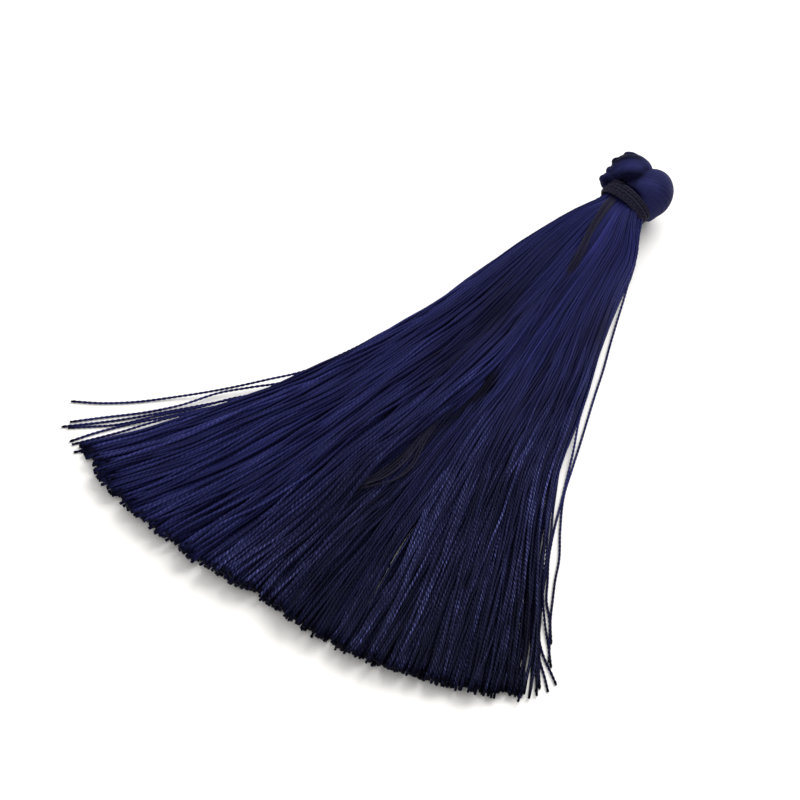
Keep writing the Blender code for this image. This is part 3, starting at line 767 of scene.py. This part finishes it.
def pairs(first, second):
    return np.stack(np.broadcast_arrays(first, second), axis=-1).reshape(-1, 2)


def wall_places(around, after, near, far):
    """Map places of the four corners of every face in the threads' walls: round the thread, and along it."""
    corners = np.broadcast_arrays(around, near, around, far, after, far, after, near)
    return np.stack(corners, axis=-1).reshape(-1, 2)


def thread_places(length, sides):
    """The map that holds the turn round each thread and the length along it."""
    turn = np.arange(sides) / sides
    walls = wall_places(turn, turn + 1.0 / sides, length[:, :-1, None], length[:, 1:, None])
    return np.concatenate([walls, pairs(turn, 0.0 * length[:, :1]), pairs(turn[::-1], length[:, -1:])])


def bake_places(count, stations, sides):
    """The map that lays every thread out as a strip of its own, with its two cut ends in the margins."""
    along = np.linspace(*BAKE_LENGTH, stations)[:, None]
    strip = np.arange(count)[:, None]
    here = np.arange(sides)
    low = (strip + BAKE_STRIP_SHARE * here / sides) / count
    high = (strip + BAKE_STRIP_SHARE * (here + 1) / sides) / count
    walls = wall_places(low[:, None], high[:, None], along[:-1], along[1:])[:, ::-1]
    angle = here * FULL_TURN / sides
    caps = [pairs(middle + BAKE_CAP_LENGTH * np.cos(angle), (strip + 0.5 + width * np.sin(angle)) / count)
            for middle, width in BAKE_CAPS]
    return np.concatenate([walls, *caps])


def thread_rings(points, radius, up, sides):
    """Round sections along each line of points; up says which way a section's quarter turn points."""
    side, over = (way[:, :, None] for way in square_to(points, up))
    angle = (np.arange(sides) * FULL_TURN / sides)[:, None]
    return points[:, :, None] + radius[:, :, None, None] * (np.cos(angle) * side + np.sin(angle) * over)


def make_threads(name, points, radius, up, looks, material):
    """One mesh of closed tubes. The looks are kept as attributes of its points."""
    count, stations = points.shape[:2]
    corners = thread_rings(points, radius, up, THREAD_SIDES) * METRES_PER_MM
    ring = np.arange(count * stations * THREAD_SIDES).reshape(count, stations, THREAD_SIDES)
    after = np.roll(ring, -1, axis=2)
    walls = np.stack([ring[:, :-1], ring[:, 1:], after[:, 1:], after[:, :-1]], axis=-1)
    wall_count = walls.size // 4
    loops = np.concatenate([walls.ravel(), ring[:, 0].ravel(), ring[:, -1, ::-1].ravel()])
    starts = np.concatenate([np.arange(wall_count) * 4, walls.size + np.arange(2 * count) * THREAD_SIDES])

    mesh = bpy.data.meshes.new(name)
    mesh.vertices.add(ring.size)
    mesh.vertices.foreach_set("co", corners.astype(np.float32).ravel())
    mesh.loops.add(len(loops))
    mesh.loops.foreach_set("vertex_index", loops.astype(np.int32))
    mesh.polygons.add(len(starts))
    mesh.polygons.foreach_set("loop_start", starts.astype(np.int32))
    mesh.polygons.foreach_set("use_smooth", np.arange(len(starts)) < wall_count)
    mesh.update(calc_edges=True)
    length = length_along(points)
    maps = (
        (THREAD_MAP, thread_places(length, THREAD_SIDES)),
        (BAKE_MAP, bake_places(count, stations, THREAD_SIDES)),
    )
    for label, places in maps:
        mesh.uv_layers.new(name=label).uv.foreach_set("vector", places.astype(np.float32).ravel())
    for label, values in looks.items():
        each = np.repeat(np.broadcast_to(values, length.shape).ravel(), THREAD_SIDES)
        mesh.attributes.new(label, "FLOAT", "POINT").data.foreach_set("value", each.astype(np.float32))
    mesh.materials.append(material)
    return add_object(name, mesh)


def plied(line, up, diameter, pitch, start_turn):
    """The two plies of one thread, as lines that wind round each other."""
    line = resample(line, pitch / PLY_STEPS)
    side, over = square_to(line, up)
    turn = FULL_TURN * (np.arange(len(line)) / PLY_STEPS + start_turn)[:, None]
    away = [np.cos(at) * side + np.sin(at) * over for at in (turn, turn + math.pi)]
    return [line + PLY_OFFSET * diameter * direction for direction in away]


def make_plied(name, lines, up, diameter, tones, pitch, material, light=None):
    """A mesh of threads with real plies, which all get as many points as the longest."""
    random = np.random.default_rng(5)
    plies = [ply for line in lines for ply in plied(line, up, diameter, pitch, random.uniform(0, 1))]
    longest = max(len(ply) for ply in plies)
    points = np.array([resample_to(ply, longest) for ply in plies])
    along = length_along(points)
    looks = {
        "tone": np.repeat(tones, 2)[:, None],
        "tip": along[:, -1:] - along,
        "fade": 0.0,
        "light": light(points) if light else 1.0,
    }
    return make_threads(name, points, np.full_like(along, diameter * PLY_RADIUS), UP, looks, material)


# ---- Materials ----

def feed(tree, node, values):
    """Feeds inputs of a node, by name or number: a link where the value is a socket, or the value itself."""
    for label, value in values.items():
        if isinstance(value, bpy.types.NodeSocket):
            tree.links.new(value, node.inputs[label])
        else:
            node.inputs[label].default_value = value


def new_node(tree, kind, values, output=0, **choices):
    """A node with its choices made and its inputs fed. Returns one of its outputs."""
    node = tree.nodes.new(kind)
    for label, choice in choices.items():
        setattr(node, label, choice)
    feed(tree, node, values)
    return node.outputs[output]


def math_node(tree, operation, *values):
    return new_node(tree, "ShaderNodeMath", dict(enumerate(values)), operation=operation)


def mix_colours(tree, share, first, second, blend_type="MIX"):
    values = {0: share, 6: first, 7: second}
    return new_node(tree, "ShaderNodeMix", values, output=2, data_type="RGBA", blend_type=blend_type)


def scale_colour(tree, colour, level):
    """The colour at another level of brightness."""
    grey = new_node(tree, "ShaderNodeCombineColor", {0: level, 1: level, 2: level})
    return mix_colours(tree, 1.0, colour, grey, "MULTIPLY")


def map_range(tree, value, from_low, from_high, to_low, to_high):
    source = {"Value": value, "From Min": from_low, "From Max": from_high}
    return new_node(tree, "ShaderNodeMapRange", {**source, "To Min": to_low, "To Max": to_high})


def noise(tree, place, scale, detail, roughness=0.5):
    values = {"Vector": place, "Scale": scale, "Detail": detail, "Roughness": roughness}
    return new_node(tree, "ShaderNodeTexNoise", values)


def new_group(name, inputs, outputs):
    """A node group, its inputs, and the node for its outputs. An input without a default is a colour."""
    group = bpy.data.node_groups.new(name, "ShaderNodeTree")
    for label, default in inputs.items():
        kind = "NodeSocketColor" if default is None else "NodeSocketFloat"
        socket = group.interface.new_socket(label, in_out="INPUT", socket_type=kind)
        if default is not None:
            socket.default_value = default
    for label, kind in outputs.items():
        group.interface.new_socket(label, in_out="OUTPUT", socket_type=kind)
    given = group.nodes.new("NodeGroupInput")
    return group, [given.outputs[label] for label in inputs], group.nodes.new("NodeGroupOutput")


def ply_twist_group():
    """The two plies of a thread: how high the surface lies on a ply, and streaks of fibre along it."""
    group, (around, along, pitch, tone), made = new_group(
        "ply_twist",
        {"Around": 0.0, "Along": 0.0, "Pitch": 1.16, "Tone": 0.5},
        {"Ridge": "NodeSocketFloat", "Fibre": "NodeSocketFloat", "Slow": "NodeSocketFloat"},
    )
    times = partial(math_node, group, "MULTIPLY")
    turned = math_node(group, "SUBTRACT", around, math_node(group, "DIVIDE", along, pitch))
    turned = math_node(group, "ADD", turned, times(tone, 7.31))  # each thread starts at a turn of its own
    ridge = math_node(group, "ABSOLUTE", math_node(group, "COSINE", times(turned, FULL_TURN)))
    fibres = {"X": times(turned, 6.0), "Y": times(along, 0.9), "Z": times(tone, 97.0)}
    lengths = {"Y": times(along, 0.16), "Z": times(tone, 61.0)}
    fibre = noise(group, new_node(group, "ShaderNodeCombineXYZ", fibres), 1.6, 3.0, 0.6)
    slow = noise(group, new_node(group, "ShaderNodeCombineXYZ", lengths), 1.0, 1.0)
    feed(group, made, {"Ridge": ridge, "Fibre": fibre, "Slow": slow})
    return group


def thread_tone_group():
    """The colour, roughness and height of a thread from its ridge, fibre and tone, with painted highlights on
    the ply crests, painted shade in the grooves and towards the end, the painted light and shade of the light
    attribute, and a cut end darkened partly for its dark fibre ends and partly as painted shade.
    """
    inputs = {
        "Body": None, "Crest": None, "Groove": None, "Ridge": 0.5, "Fibre": 0.5, "Slow": 0.5, "Tone": 0.5,
        "Tip": 10.0, "Along": 50.0, "Fade": 0.0, "Light": 1.0, "End": None, "Spread": 0.35,
    }
    outputs = {"Colour": "NodeSocketColor", "Roughness": "NodeSocketFloat", "Height": "NodeSocketFloat"}
    group, given, made = new_group("thread_tone", inputs, outputs)
    body, crest, groove_shade, ridge, fibre, slow, tone, tip, along, fade, light, end, spread = given
    times = partial(math_node, group, "MULTIPLY")
    ramp = partial(map_range, group)
    tight = ramp(along, 8.0, 38.0, 0.0, 1.0)  # 0 where the thread is drawn tight, near the neck

    # Painted shade in the grooves between the plies, which is mostly left out where the thread is drawn tight
    # and shows best towards its end.
    out_of_groove_shade = math_node(group, "MAXIMUM", ramp(ridge, 0.15, 0.6, 0.0, 1.0), ramp(tight, 0.0, 1.0, 0.9, 0.0))
    out_of_groove_shade = math_node(group, "MAXIMUM", out_of_groove_shade, ramp(fade, 0.0, 0.5, 0.75, 0.0))
    thread = mix_colours(group, out_of_groove_shade, groove_shade, mix_colours(group, fade, body, end))

    # The crests shine where a fibre lies right, more so on the lighter threads.
    lit = times(ramp(fibre, 0.46, 0.60, 0.05, 1.0), ramp(slow, 0.35, 0.65, 0.25, 1.0))
    lit = times(lit, ramp(tight, 0.0, 1.0, 0.35, 1.0))
    lit = times(lit, ramp(tone, 0.35, 0.75, 0.12, 1.0))
    lit = times(lit, ramp(fade, 0.0, 0.45, 0.25, 1.0))
    glint = scale_colour(group, crest, ramp(fade, 0.2, 0.8, 1.0, 2.3))
    thread = mix_colours(group, times(math_node(group, "POWER", ridge, 3.0), lit), thread, glint)

    # Each thread has a tone of its own, which drifts along it. Towards its end the fade darkens it as painted
    # shade, the light attribute brings painted light and shade, and the last stretch before the cut end goes
    # nearly black, partly for the dark cut fibre ends and partly as painted shade.
    level = math_node(group, "ADD", math_node(group, "POWER", tone, 2.0), times(slow, 1.1))
    level = times(math_node(group, "SUBTRACT", level, 0.85), times(spread, ramp(tight, 0.0, 1.0, 0.9, 2.0)))
    level = times(math_node(group, "ADD", 1.0, level), ramp(fade, 0.0, 1.0, 1.12, 0.50))
    thread = scale_colour(group, thread, times(level, light))
    colour = scale_colour(group, thread, ramp(tip, 0.1, 1.7, 0.08, 1.0))

    height = math_node(group, "ADD", ridge, times(fibre, 0.35))
    height = times(height, ramp(tight, 0.0, 1.0, 0.2, 1.0))
    height = times(height, ramp(fade, 0.0, 0.5, 0.3, 1.0))
    feed(group, made, {"Colour": colour, "Roughness": ramp(fibre, 0.3, 0.7, 0.56, 0.40), "Height": height})
    return group


def group_node(tree, name, build, values):
    """A shared group, built once, with its inputs fed. Returns the node."""
    node = tree.nodes.new("ShaderNodeGroup")
    node.node_tree = bpy.data.node_groups.get(name) or build()
    feed(tree, node, values)
    return node


def thread_material(name, body, crest, groove_shade, end, pitch, relief, spread, gloss, sheen, tint):
    """A twisted thread: the twist and tone come from the shared groups, the gloss stays on the shader."""
    material = bpy.data.materials.new(name)
    material.use_nodes = True
    tree = material.node_tree
    places = new_node(tree, "ShaderNodeUVMap", {}, output="UV", uv_map=THREAD_MAP)
    around = new_node(tree, "ShaderNodeSeparateXYZ", {0: places}, output="X")
    along = around.node.outputs["Y"]
    looks = {
        label: new_node(tree, "ShaderNodeAttribute", {}, output="Fac", attribute_name=label.lower())
        for label in ("Tone", "Tip", "Fade", "Light")
    }
    twist = group_node(tree, "ply_twist", ply_twist_group,
                       {"Around": around, "Along": along, "Tone": looks["Tone"], "Pitch": pitch})
    colours = {"Body": body, "Crest": crest, "Groove": groove_shade, "End": end}
    thread = group_node(tree, "thread_tone", thread_tone_group, {
        **{label: twist.outputs[label] for label in ("Ridge", "Fibre", "Slow")},
        **{label: (*colour, 1.0) for label, colour in colours.items()},
        **looks,
        "Along": along,
        "Spread": spread,
    })
    bump = {"Strength": 1.0, "Distance": relief * METRES_PER_MM, "Height": thread.outputs["Height"]}
    feed(tree, tree.nodes["Principled BSDF"], {
        "Base Color": thread.outputs["Colour"],
        "Roughness": thread.outputs["Roughness"],
        "Normal": new_node(tree, "ShaderNodeBump", bump),
        "Specular IOR Level": gloss,
        "Specular Tint": (*tint, 1.0),
        "Sheen Weight": sheen,
        "Sheen Roughness": 0.4,
        "Sheen Tint": (*tint, 1.0),
    })
    return material


def darker(colour, share):
    return tuple(share * channel for channel in colour)


def floor_material(colour):
    """A smooth pale board with the faintest unevenness."""
    material = bpy.data.materials.new("white_surface")
    material.use_nodes = True
    tree = material.node_tree
    speckle = noise(tree, new_node(tree, "ShaderNodeTexCoord", {}, output="Object"), 240.0, 4.0)
    soiled = darker(colour, 0.985)
    mixed = mix_colours(tree, speckle, (*colour, 1.0), (*soiled, 1.0))
    finish = {"Base Color": mixed, "Roughness": 0.7, "Specular IOR Level": 0.1}
    feed(tree, tree.nodes["Principled BSDF"], finish)
    return material


def skirt_material(settings):
    return bpy.data.materials.get("navy_skirt_thread") or thread_material(
        "navy_skirt_thread", settings.body_colour, settings.crest_colour, settings.groove_shade_colour,
        settings.end_colour, in_mm(settings.twist_pitch), **SKIRT_FINISH
    )


# ---- Pieces ----

def belongs_to(piece, node):
    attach(piece, "root")
    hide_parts(node)


class TASSEL_OT_skirt(bpy.types.Operator):
    """Build the skirt: the threads that rest on each other from the neck to the cut ends"""

    bl_idname = "tassel.skirt"
    bl_label = "Build skirt"

    def execute(self, context):
        settings = context.scene.tassel_skirt
        points, radius, looks, across = skirt_bundle(settings)
        material = skirt_material(settings)
        for name, low, high in SKIRT_QUARTERS:
            own = (across >= low) & (across < high)
            own_looks = {label: values[own] for label, values in looks.items()}
            piece = make_threads(name, points[own], radius[own], UP, own_looks, material)
            belongs_to(piece, "thread_bundle")
        return {"FINISHED"}


def stray_line(across, share_up, free):
    """A line that follows the skirt from the neck and then its own free points."""
    free = np.array(free)
    leave = SKIRT_START_Y - free[0, 1]
    lead = np.arange(0.0, leave - STRAY_LEAD_SPACING, STRAY_LEAD_SPACING)
    x, y, z = skirt_section(np.full_like(lead, across), share_up, lead)
    z_leave = skirt_section(np.array(across), share_up, np.array(leave))[2]
    free_z = blend(z_leave, FREE_Z, smooth_step(0.0, FREE_DROP, free[0, 1] - free[:, 1]))
    return resample(np.concatenate([np.stack([x, y, z], -1), np.column_stack([free, free_z])]), 1.0)


def stray_light(points):
    """The loose threads lie in shade at the skirt's right corner."""
    at_corner = smooth_step(*STRAY_SHADE_BETWEEN, SKIRT_START_Y - points[..., 1])
    return 1.0 - CORNER_SHADE * smooth_step(*STRAY_SHADE_X, points[..., 0]) * at_corner


class TASSEL_OT_strays(bpy.types.Operator):
    """Build the threads that have left the skirt, with their real plies"""

    bl_idname = "tassel.strays"
    bl_label = "Build stray threads"

    def execute(self, context):
        settings = context.scene.tassel_skirt
        lines = [stray_line(*route) for route in STRAY_ROUTES]
        tones = np.random.default_rng(settings.seed + 1).uniform(*STRAY_TONES, len(lines))
        diameter = STRAY_THICKER * in_mm(settings.thread_diameter)
        piece = make_plied("stray_threads", lines, UP, diameter, tones, in_mm(settings.twist_pitch),
                           skirt_material(settings), stray_light)
        belongs_to(piece, "thread_bundle")
        return {"FINISHED"}


def head_light(points):
    light = np.ones(points.shape[:2])
    for *place, reach, change in HEAD_LIGHT:
        away = np.linalg.norm(points - HEAD_CENTRE - np.array(place), axis=-1) / reach
        light += change * np.exp(-away ** 2)
    return np.clip(light, HEAD_DARKEST, None)


def tuck_in(points):
    """Draws the middle of the ropes in where they meet the binding; their outer sides bulge past its ends."""
    side, length, _ = neck_frame()
    away = points - HEAD_CENTRE
    behind = -(away @ length)
    middle = 1.0 - smooth_step(*HEAD_TUCK_MIDDLE, np.abs(away @ side))
    kept = behind - (1.0 - HEAD_TUCK_SHARE) * middle * np.maximum(behind - HEAD_TUCK_FROM, 0.0)
    shrink = 1.0 - HEAD_TUCK_SHRINK * middle * smooth_step(*HEAD_TUCK_BEHIND, behind)
    level = away + behind[..., None] * length
    return HEAD_CENTRE + shrink[..., None] * level - kept[..., None] * length


def rope_directions(pole, lean, around):
    """Directions from a rope's middle, by lean from its pole and turn round it, and those round its waist."""
    pole = unit(np.array(pole))
    first = unit(np.cross(pole, UP))
    ring = np.cos(around)[:, None] * first + np.sin(around)[:, None] * np.cross(pole, first)
    return np.cos(lean)[..., None] * pole + np.sin(lean)[..., None] * ring, ring


def even_leans(count):
    return ((np.arange(count) + 0.5) / count * math.pi)[:, None]


def rope_threads(settings, rope, random):
    """Threads that circle one rope's pole, lying in coarse strands that stand out most on the left."""
    _, centre, half, pole, strand_height, left_steps, share = rope
    count = round(share * settings.thread_count)
    strands = settings.strand_count
    around = np.linspace(0.0, FULL_TURN, HEAD_STATIONS)
    lean = even_leans(count) + HEAD_WAVER * np.sin(around + random.uniform(0, 6.3, (count, 1)))
    direction, ring = rope_directions(pole, lean, around)
    strand = lean / math.pi * strands + STRAND_SLANT * np.sin(around) / math.pi
    number = np.clip(np.floor(strand).astype(int), 0, strands - 1)
    crest = np.abs(np.sin(math.pi * strand))
    levels = random.uniform(*STRAND_LEVELS, strands)
    away = strand_height * (crest ** 0.6 - 1.0 + levels[number]) - HEAD_SUNK
    if left_steps:
        on_left = smooth_step(*LEFT_BETWEEN, ring @ HEAD_LEFT)
        away = away + on_left * (NOTCH_DEPTH * (crest ** 0.5 - 1.0) + np.array(left_steps)[number])
    return HEAD_CENTRE + np.array(centre) + np.array(half) * direction + away[..., None] * direction


def rope_filling(rope):
    """The threads just under a rope's outer ones, which close the view between them."""
    _, centre, half, pole, *_ = rope
    around = np.linspace(0.0, FULL_TURN, FILLING_STATIONS)
    direction, _ = rope_directions(pole, even_leans(FILLING_THREADS), around)
    return HEAD_CENTRE + np.array(centre) + (np.array(half) - FILLING_DEPTH) * direction


class TASSEL_OT_head(bpy.types.Operator):
    """Build the head: the hank doubled over, in rounded ropes of thread"""

    bl_idname = "tassel.head"
    bl_label = "Build head"

    def execute(self, context):
        settings = context.scene.tassel_head
        random = np.random.default_rng(3)
        # The head's grooves get painted shade, half as bright as its body.
        material = thread_material("navy_head_thread", settings.body_colour, settings.crest_colour,
                                   darker(settings.body_colour, 0.5), settings.body_colour, HEAD_THREAD_PITCH,
                                   **HEAD_FINISH)
        radius = 0.5 * in_mm(settings.thread_diameter)
        for rope in HEAD_ROPES:
            name, centre, *_, share = rope
            middle = HEAD_CENTRE + np.array(centre)
            outer = tuck_in(rope_threads(settings, rope, random))
            self.add_threads(name, middle, outer, radius, random, material)
            if share == 1.0:
                filling = tuck_in(rope_filling(rope))
                self.add_threads(name + "_filling", middle, filling, FILLING_RADIUS, random, material)
        return {"FINISHED"}

    def add_threads(self, name, middle, points, radius, random, material):
        points[..., 2] = np.maximum(points[..., 2], radius)
        tone = random.uniform(0, 1, (len(points), 1))
        looks = {"tone": tone, "tip": 90.0, "fade": 0.0, "light": head_light(points)}
        thick = np.full(points.shape[:2], radius)
        piece = make_threads(name, points, thick, unit(points - middle), looks, material)
        belongs_to(piece, "thread_bundle")


def binding_line(turns, diameter):
    """The wound thread's middle: one layer of turns towards the skirt, and one back over it."""
    random = np.random.default_rng(8)
    angle = np.arange(2 * turns * BINDING_STEPS + 1) * FULL_TURN / BINDING_STEPS
    share = angle / (FULL_TURN * turns)
    proud = BINDING_PROUD + LAYER_RISE * smooth_step(*LAYER_RISES, share)
    proud = proud + waves(random, 1, share, BINDING_WANDER_OUT)[0]
    along = (BINDING_HALF_LENGTH - 0.5 * diameter) * (1 - 2 * np.where(share <= 1, share, 2 - share))
    along = along + waves(random, 1, share, BINDING_WANDER_ALONG)[0]
    return neck_points(TAIL_START_ANGLE - angle, along, proud)


def waver(random, distance, reach, stretches):
    return reach * np.sin(distance / random.uniform(*stretches) + random.uniform(0, 6))


def tail_lines(strand_count, random):
    """The strands of the free end, side by side near the neck and in loose loops in the parting."""
    route = np.array(TAIL_ROUTE)
    numbers = np.arange(len(route), dtype=float)
    at = np.linspace(0.0, len(route) - 1.0, TAIL_STATIONS)
    outer_x, inner_x, outer_distance, inner_distance, share_up = (
        smooth_curve(numbers, column, at) for column in route.T
    )
    lines = []
    for share in np.arange(strand_count) / (strand_count - 1):
        distance = blend(outer_distance, inner_distance, share)
        together = 1.0 - TAIL_GATHERED * smooth_step(*TAIL_TOGETHER_UNTIL, distance)
        in_loops = smooth_step(*TAIL_LOOPS_START, distance) * (1.0 - smooth_step(*TAIL_LOOPS_END, distance))
        x = blend(outer_x, inner_x, share) + TAIL_SPACING * (0.5 - share) * together
        x = x + random.uniform(*TAIL_LOOP_SPREAD) * in_loops
        x = x + waver(random, distance, *TAIL_WAVER_ACROSS)
        left, right = (from_table(SKIRT_SECTIONS, distance, column) for column in (LEFT, RIGHT))
        z = skirt_section(x / np.where(x < 0, left, right), share_up, distance)[2]
        z = z + TAIL_PROUD + TAIL_PROUD_NECK * (1.0 - smooth_step(*TAIL_PROUD_UNTIL, distance))
        z = z + waver(random, distance, *TAIL_WAVER_UP)
        lines.append(np.stack([x, SKIRT_START_Y - distance, z], axis=-1))
    return lines


def tail_light(points):
    """The free end lies in shade where it is in the parting."""
    return np.interp(SKIRT_START_Y - points[..., 1], *np.array(TAIL_LIGHT).T)


class TASSEL_OT_binding(bpy.types.Operator):
    """Build the binding: charcoal thread wound round the neck, and its free end in the parting"""

    bl_idname = "tassel.binding"
    bl_label = "Build binding"

    def execute(self, context):
        settings = context.scene.tassel_binding
        random = np.random.default_rng(21)
        # The wound thread's grooves get painted shade, three quarters as bright as its body.
        material = thread_material("charcoal_wound_thread", settings.body_colour, settings.crest_colour,
                                   darker(settings.body_colour, 0.75), settings.body_colour, CHARCOAL_PITCH,
                                   **CHARCOAL_FINISH)
        diameter = in_mm(settings.thread_diameter)
        _, length, _ = neck_frame()
        wound = make_plied("wound_binding", [binding_line(settings.turns, diameter)], length, diameter, [0.5],
                           BINDING_PITCH, material)
        belongs_to(wound, "neck_binding")
        strands = tail_lines(settings.tail_strands, random)
        tail = make_plied("binding_tail", strands, UP, TAIL_THINNER * diameter,
                          random.uniform(*TAIL_TONES, len(strands)), BINDING_PITCH, material, tail_light)
        belongs_to(tail, "neck_binding")
        return {"FINISHED"}


class TASSEL_OT_stage(bpy.types.Operator):
    """Set the stage: the white floor, the soft light and the camera"""

    bl_idname = "tassel.stage"
    bl_label = "Set stage"

    def execute(self, context):
        settings = context.scene.tassel_stage
        self.lay_floor(settings)
        self.hang_lights(context, settings)
        self.place_camera(context)
        context.scene.view_settings.view_transform = "Standard"
        return {"FINISHED"}

    def lay_floor(self, settings):
        half = 0.5 * settings.floor_side
        mesh = bpy.data.meshes.new("floor")
        corners = [(-half, -half, 0), (half, -half, 0), (half, half, 0), (-half, half, 0)]
        mesh.from_pydata(corners, [], [(0, 1, 2, 3)])
        mesh.materials.append(floor_material(tuple(settings.floor_colour)))
        floor = add_object("floor", mesh)

    def hang_lights(self, context, settings):
        world = bpy.data.worlds.new("studio")
        world.use_nodes = True
        background = world.node_tree.nodes["Background"]
        background.inputs["Color"].default_value = (1.0, 1.0, 1.0, 1.0)
        background.inputs["Strength"].default_value = settings.sky_strength
        context.scene.world = world
        light = bpy.data.lights.new("overhead", "AREA")
        light.shape = "DISK"
        light.size = LAMP_SIZE
        light.energy = settings.lamp_power
        lamp = add_object("overhead", light)
        lamp.location = LAMP_PLACE
        lamp.rotation_euler = (LOOK_AT - LAMP_PLACE).to_track_quat("-Z", "Y").to_euler()

    def place_camera(self, context):
        data = bpy.data.cameras.new("camera")
        data.sensor_width = CAMERA_SENSOR
        data.lens = CAMERA_LENS
        data.clip_start = METRES_PER_MM
        camera = add_object("camera", data)
        camera.location = CAMERA_PLACE
        camera.rotation_euler = (CAMERA_PLACE - LOOK_AT).to_track_quat("Z", "Y").to_euler()
        context.scene.camera = camera


OPERATORS = (TASSEL_OT_stage, TASSEL_OT_skirt, TASSEL_OT_strays, TASSEL_OT_head, TASSEL_OT_binding)
SETTINGS = (
    ("tassel_skirt", SkirtSettings),
    ("tassel_head", HeadSettings),
    ("tassel_binding", BindingSettings),
    ("tassel_stage", StageSettings),
)


class TASSEL_PT_panel(bpy.types.Panel):
    """Lists the tassel's pieces and their settings"""

    bl_label = "Thread Tassel"
    bl_idname = "TASSEL_PT_panel"
    bl_space_type = "VIEW_3D"
    bl_region_type = "UI"
    bl_category = "Tassel"

    def draw(self, context):
        for operator in OPERATORS:
            self.layout.operator(operator.bl_idname)
        for name, group in SETTINGS:
            box = self.layout.box()
            for label in group.__annotations__:
                box.prop(getattr(context.scene, name), label)


CLASSES = tuple(group for _, group in SETTINGS) + OPERATORS + (TASSEL_PT_panel,)


def register():
    for item in CLASSES:
        bpy.utils.register_class(item)
    for name, group in SETTINGS:
        setattr(bpy.types.Scene, name, PointerProperty(type=group))


def unregister():
    for name, _ in SETTINGS:
        delattr(bpy.types.Scene, name)
    for item in reversed(CLASSES):
        bpy.utils.unregister_class(item)


def main():
    register()
    bpy.ops.tassel.stage()
    bpy.ops.tassel.skirt()
    bpy.ops.tassel.strays()
    bpy.ops.tassel.head()
    bpy.ops.tassel.binding()


if __name__ == "__main__":
    main()
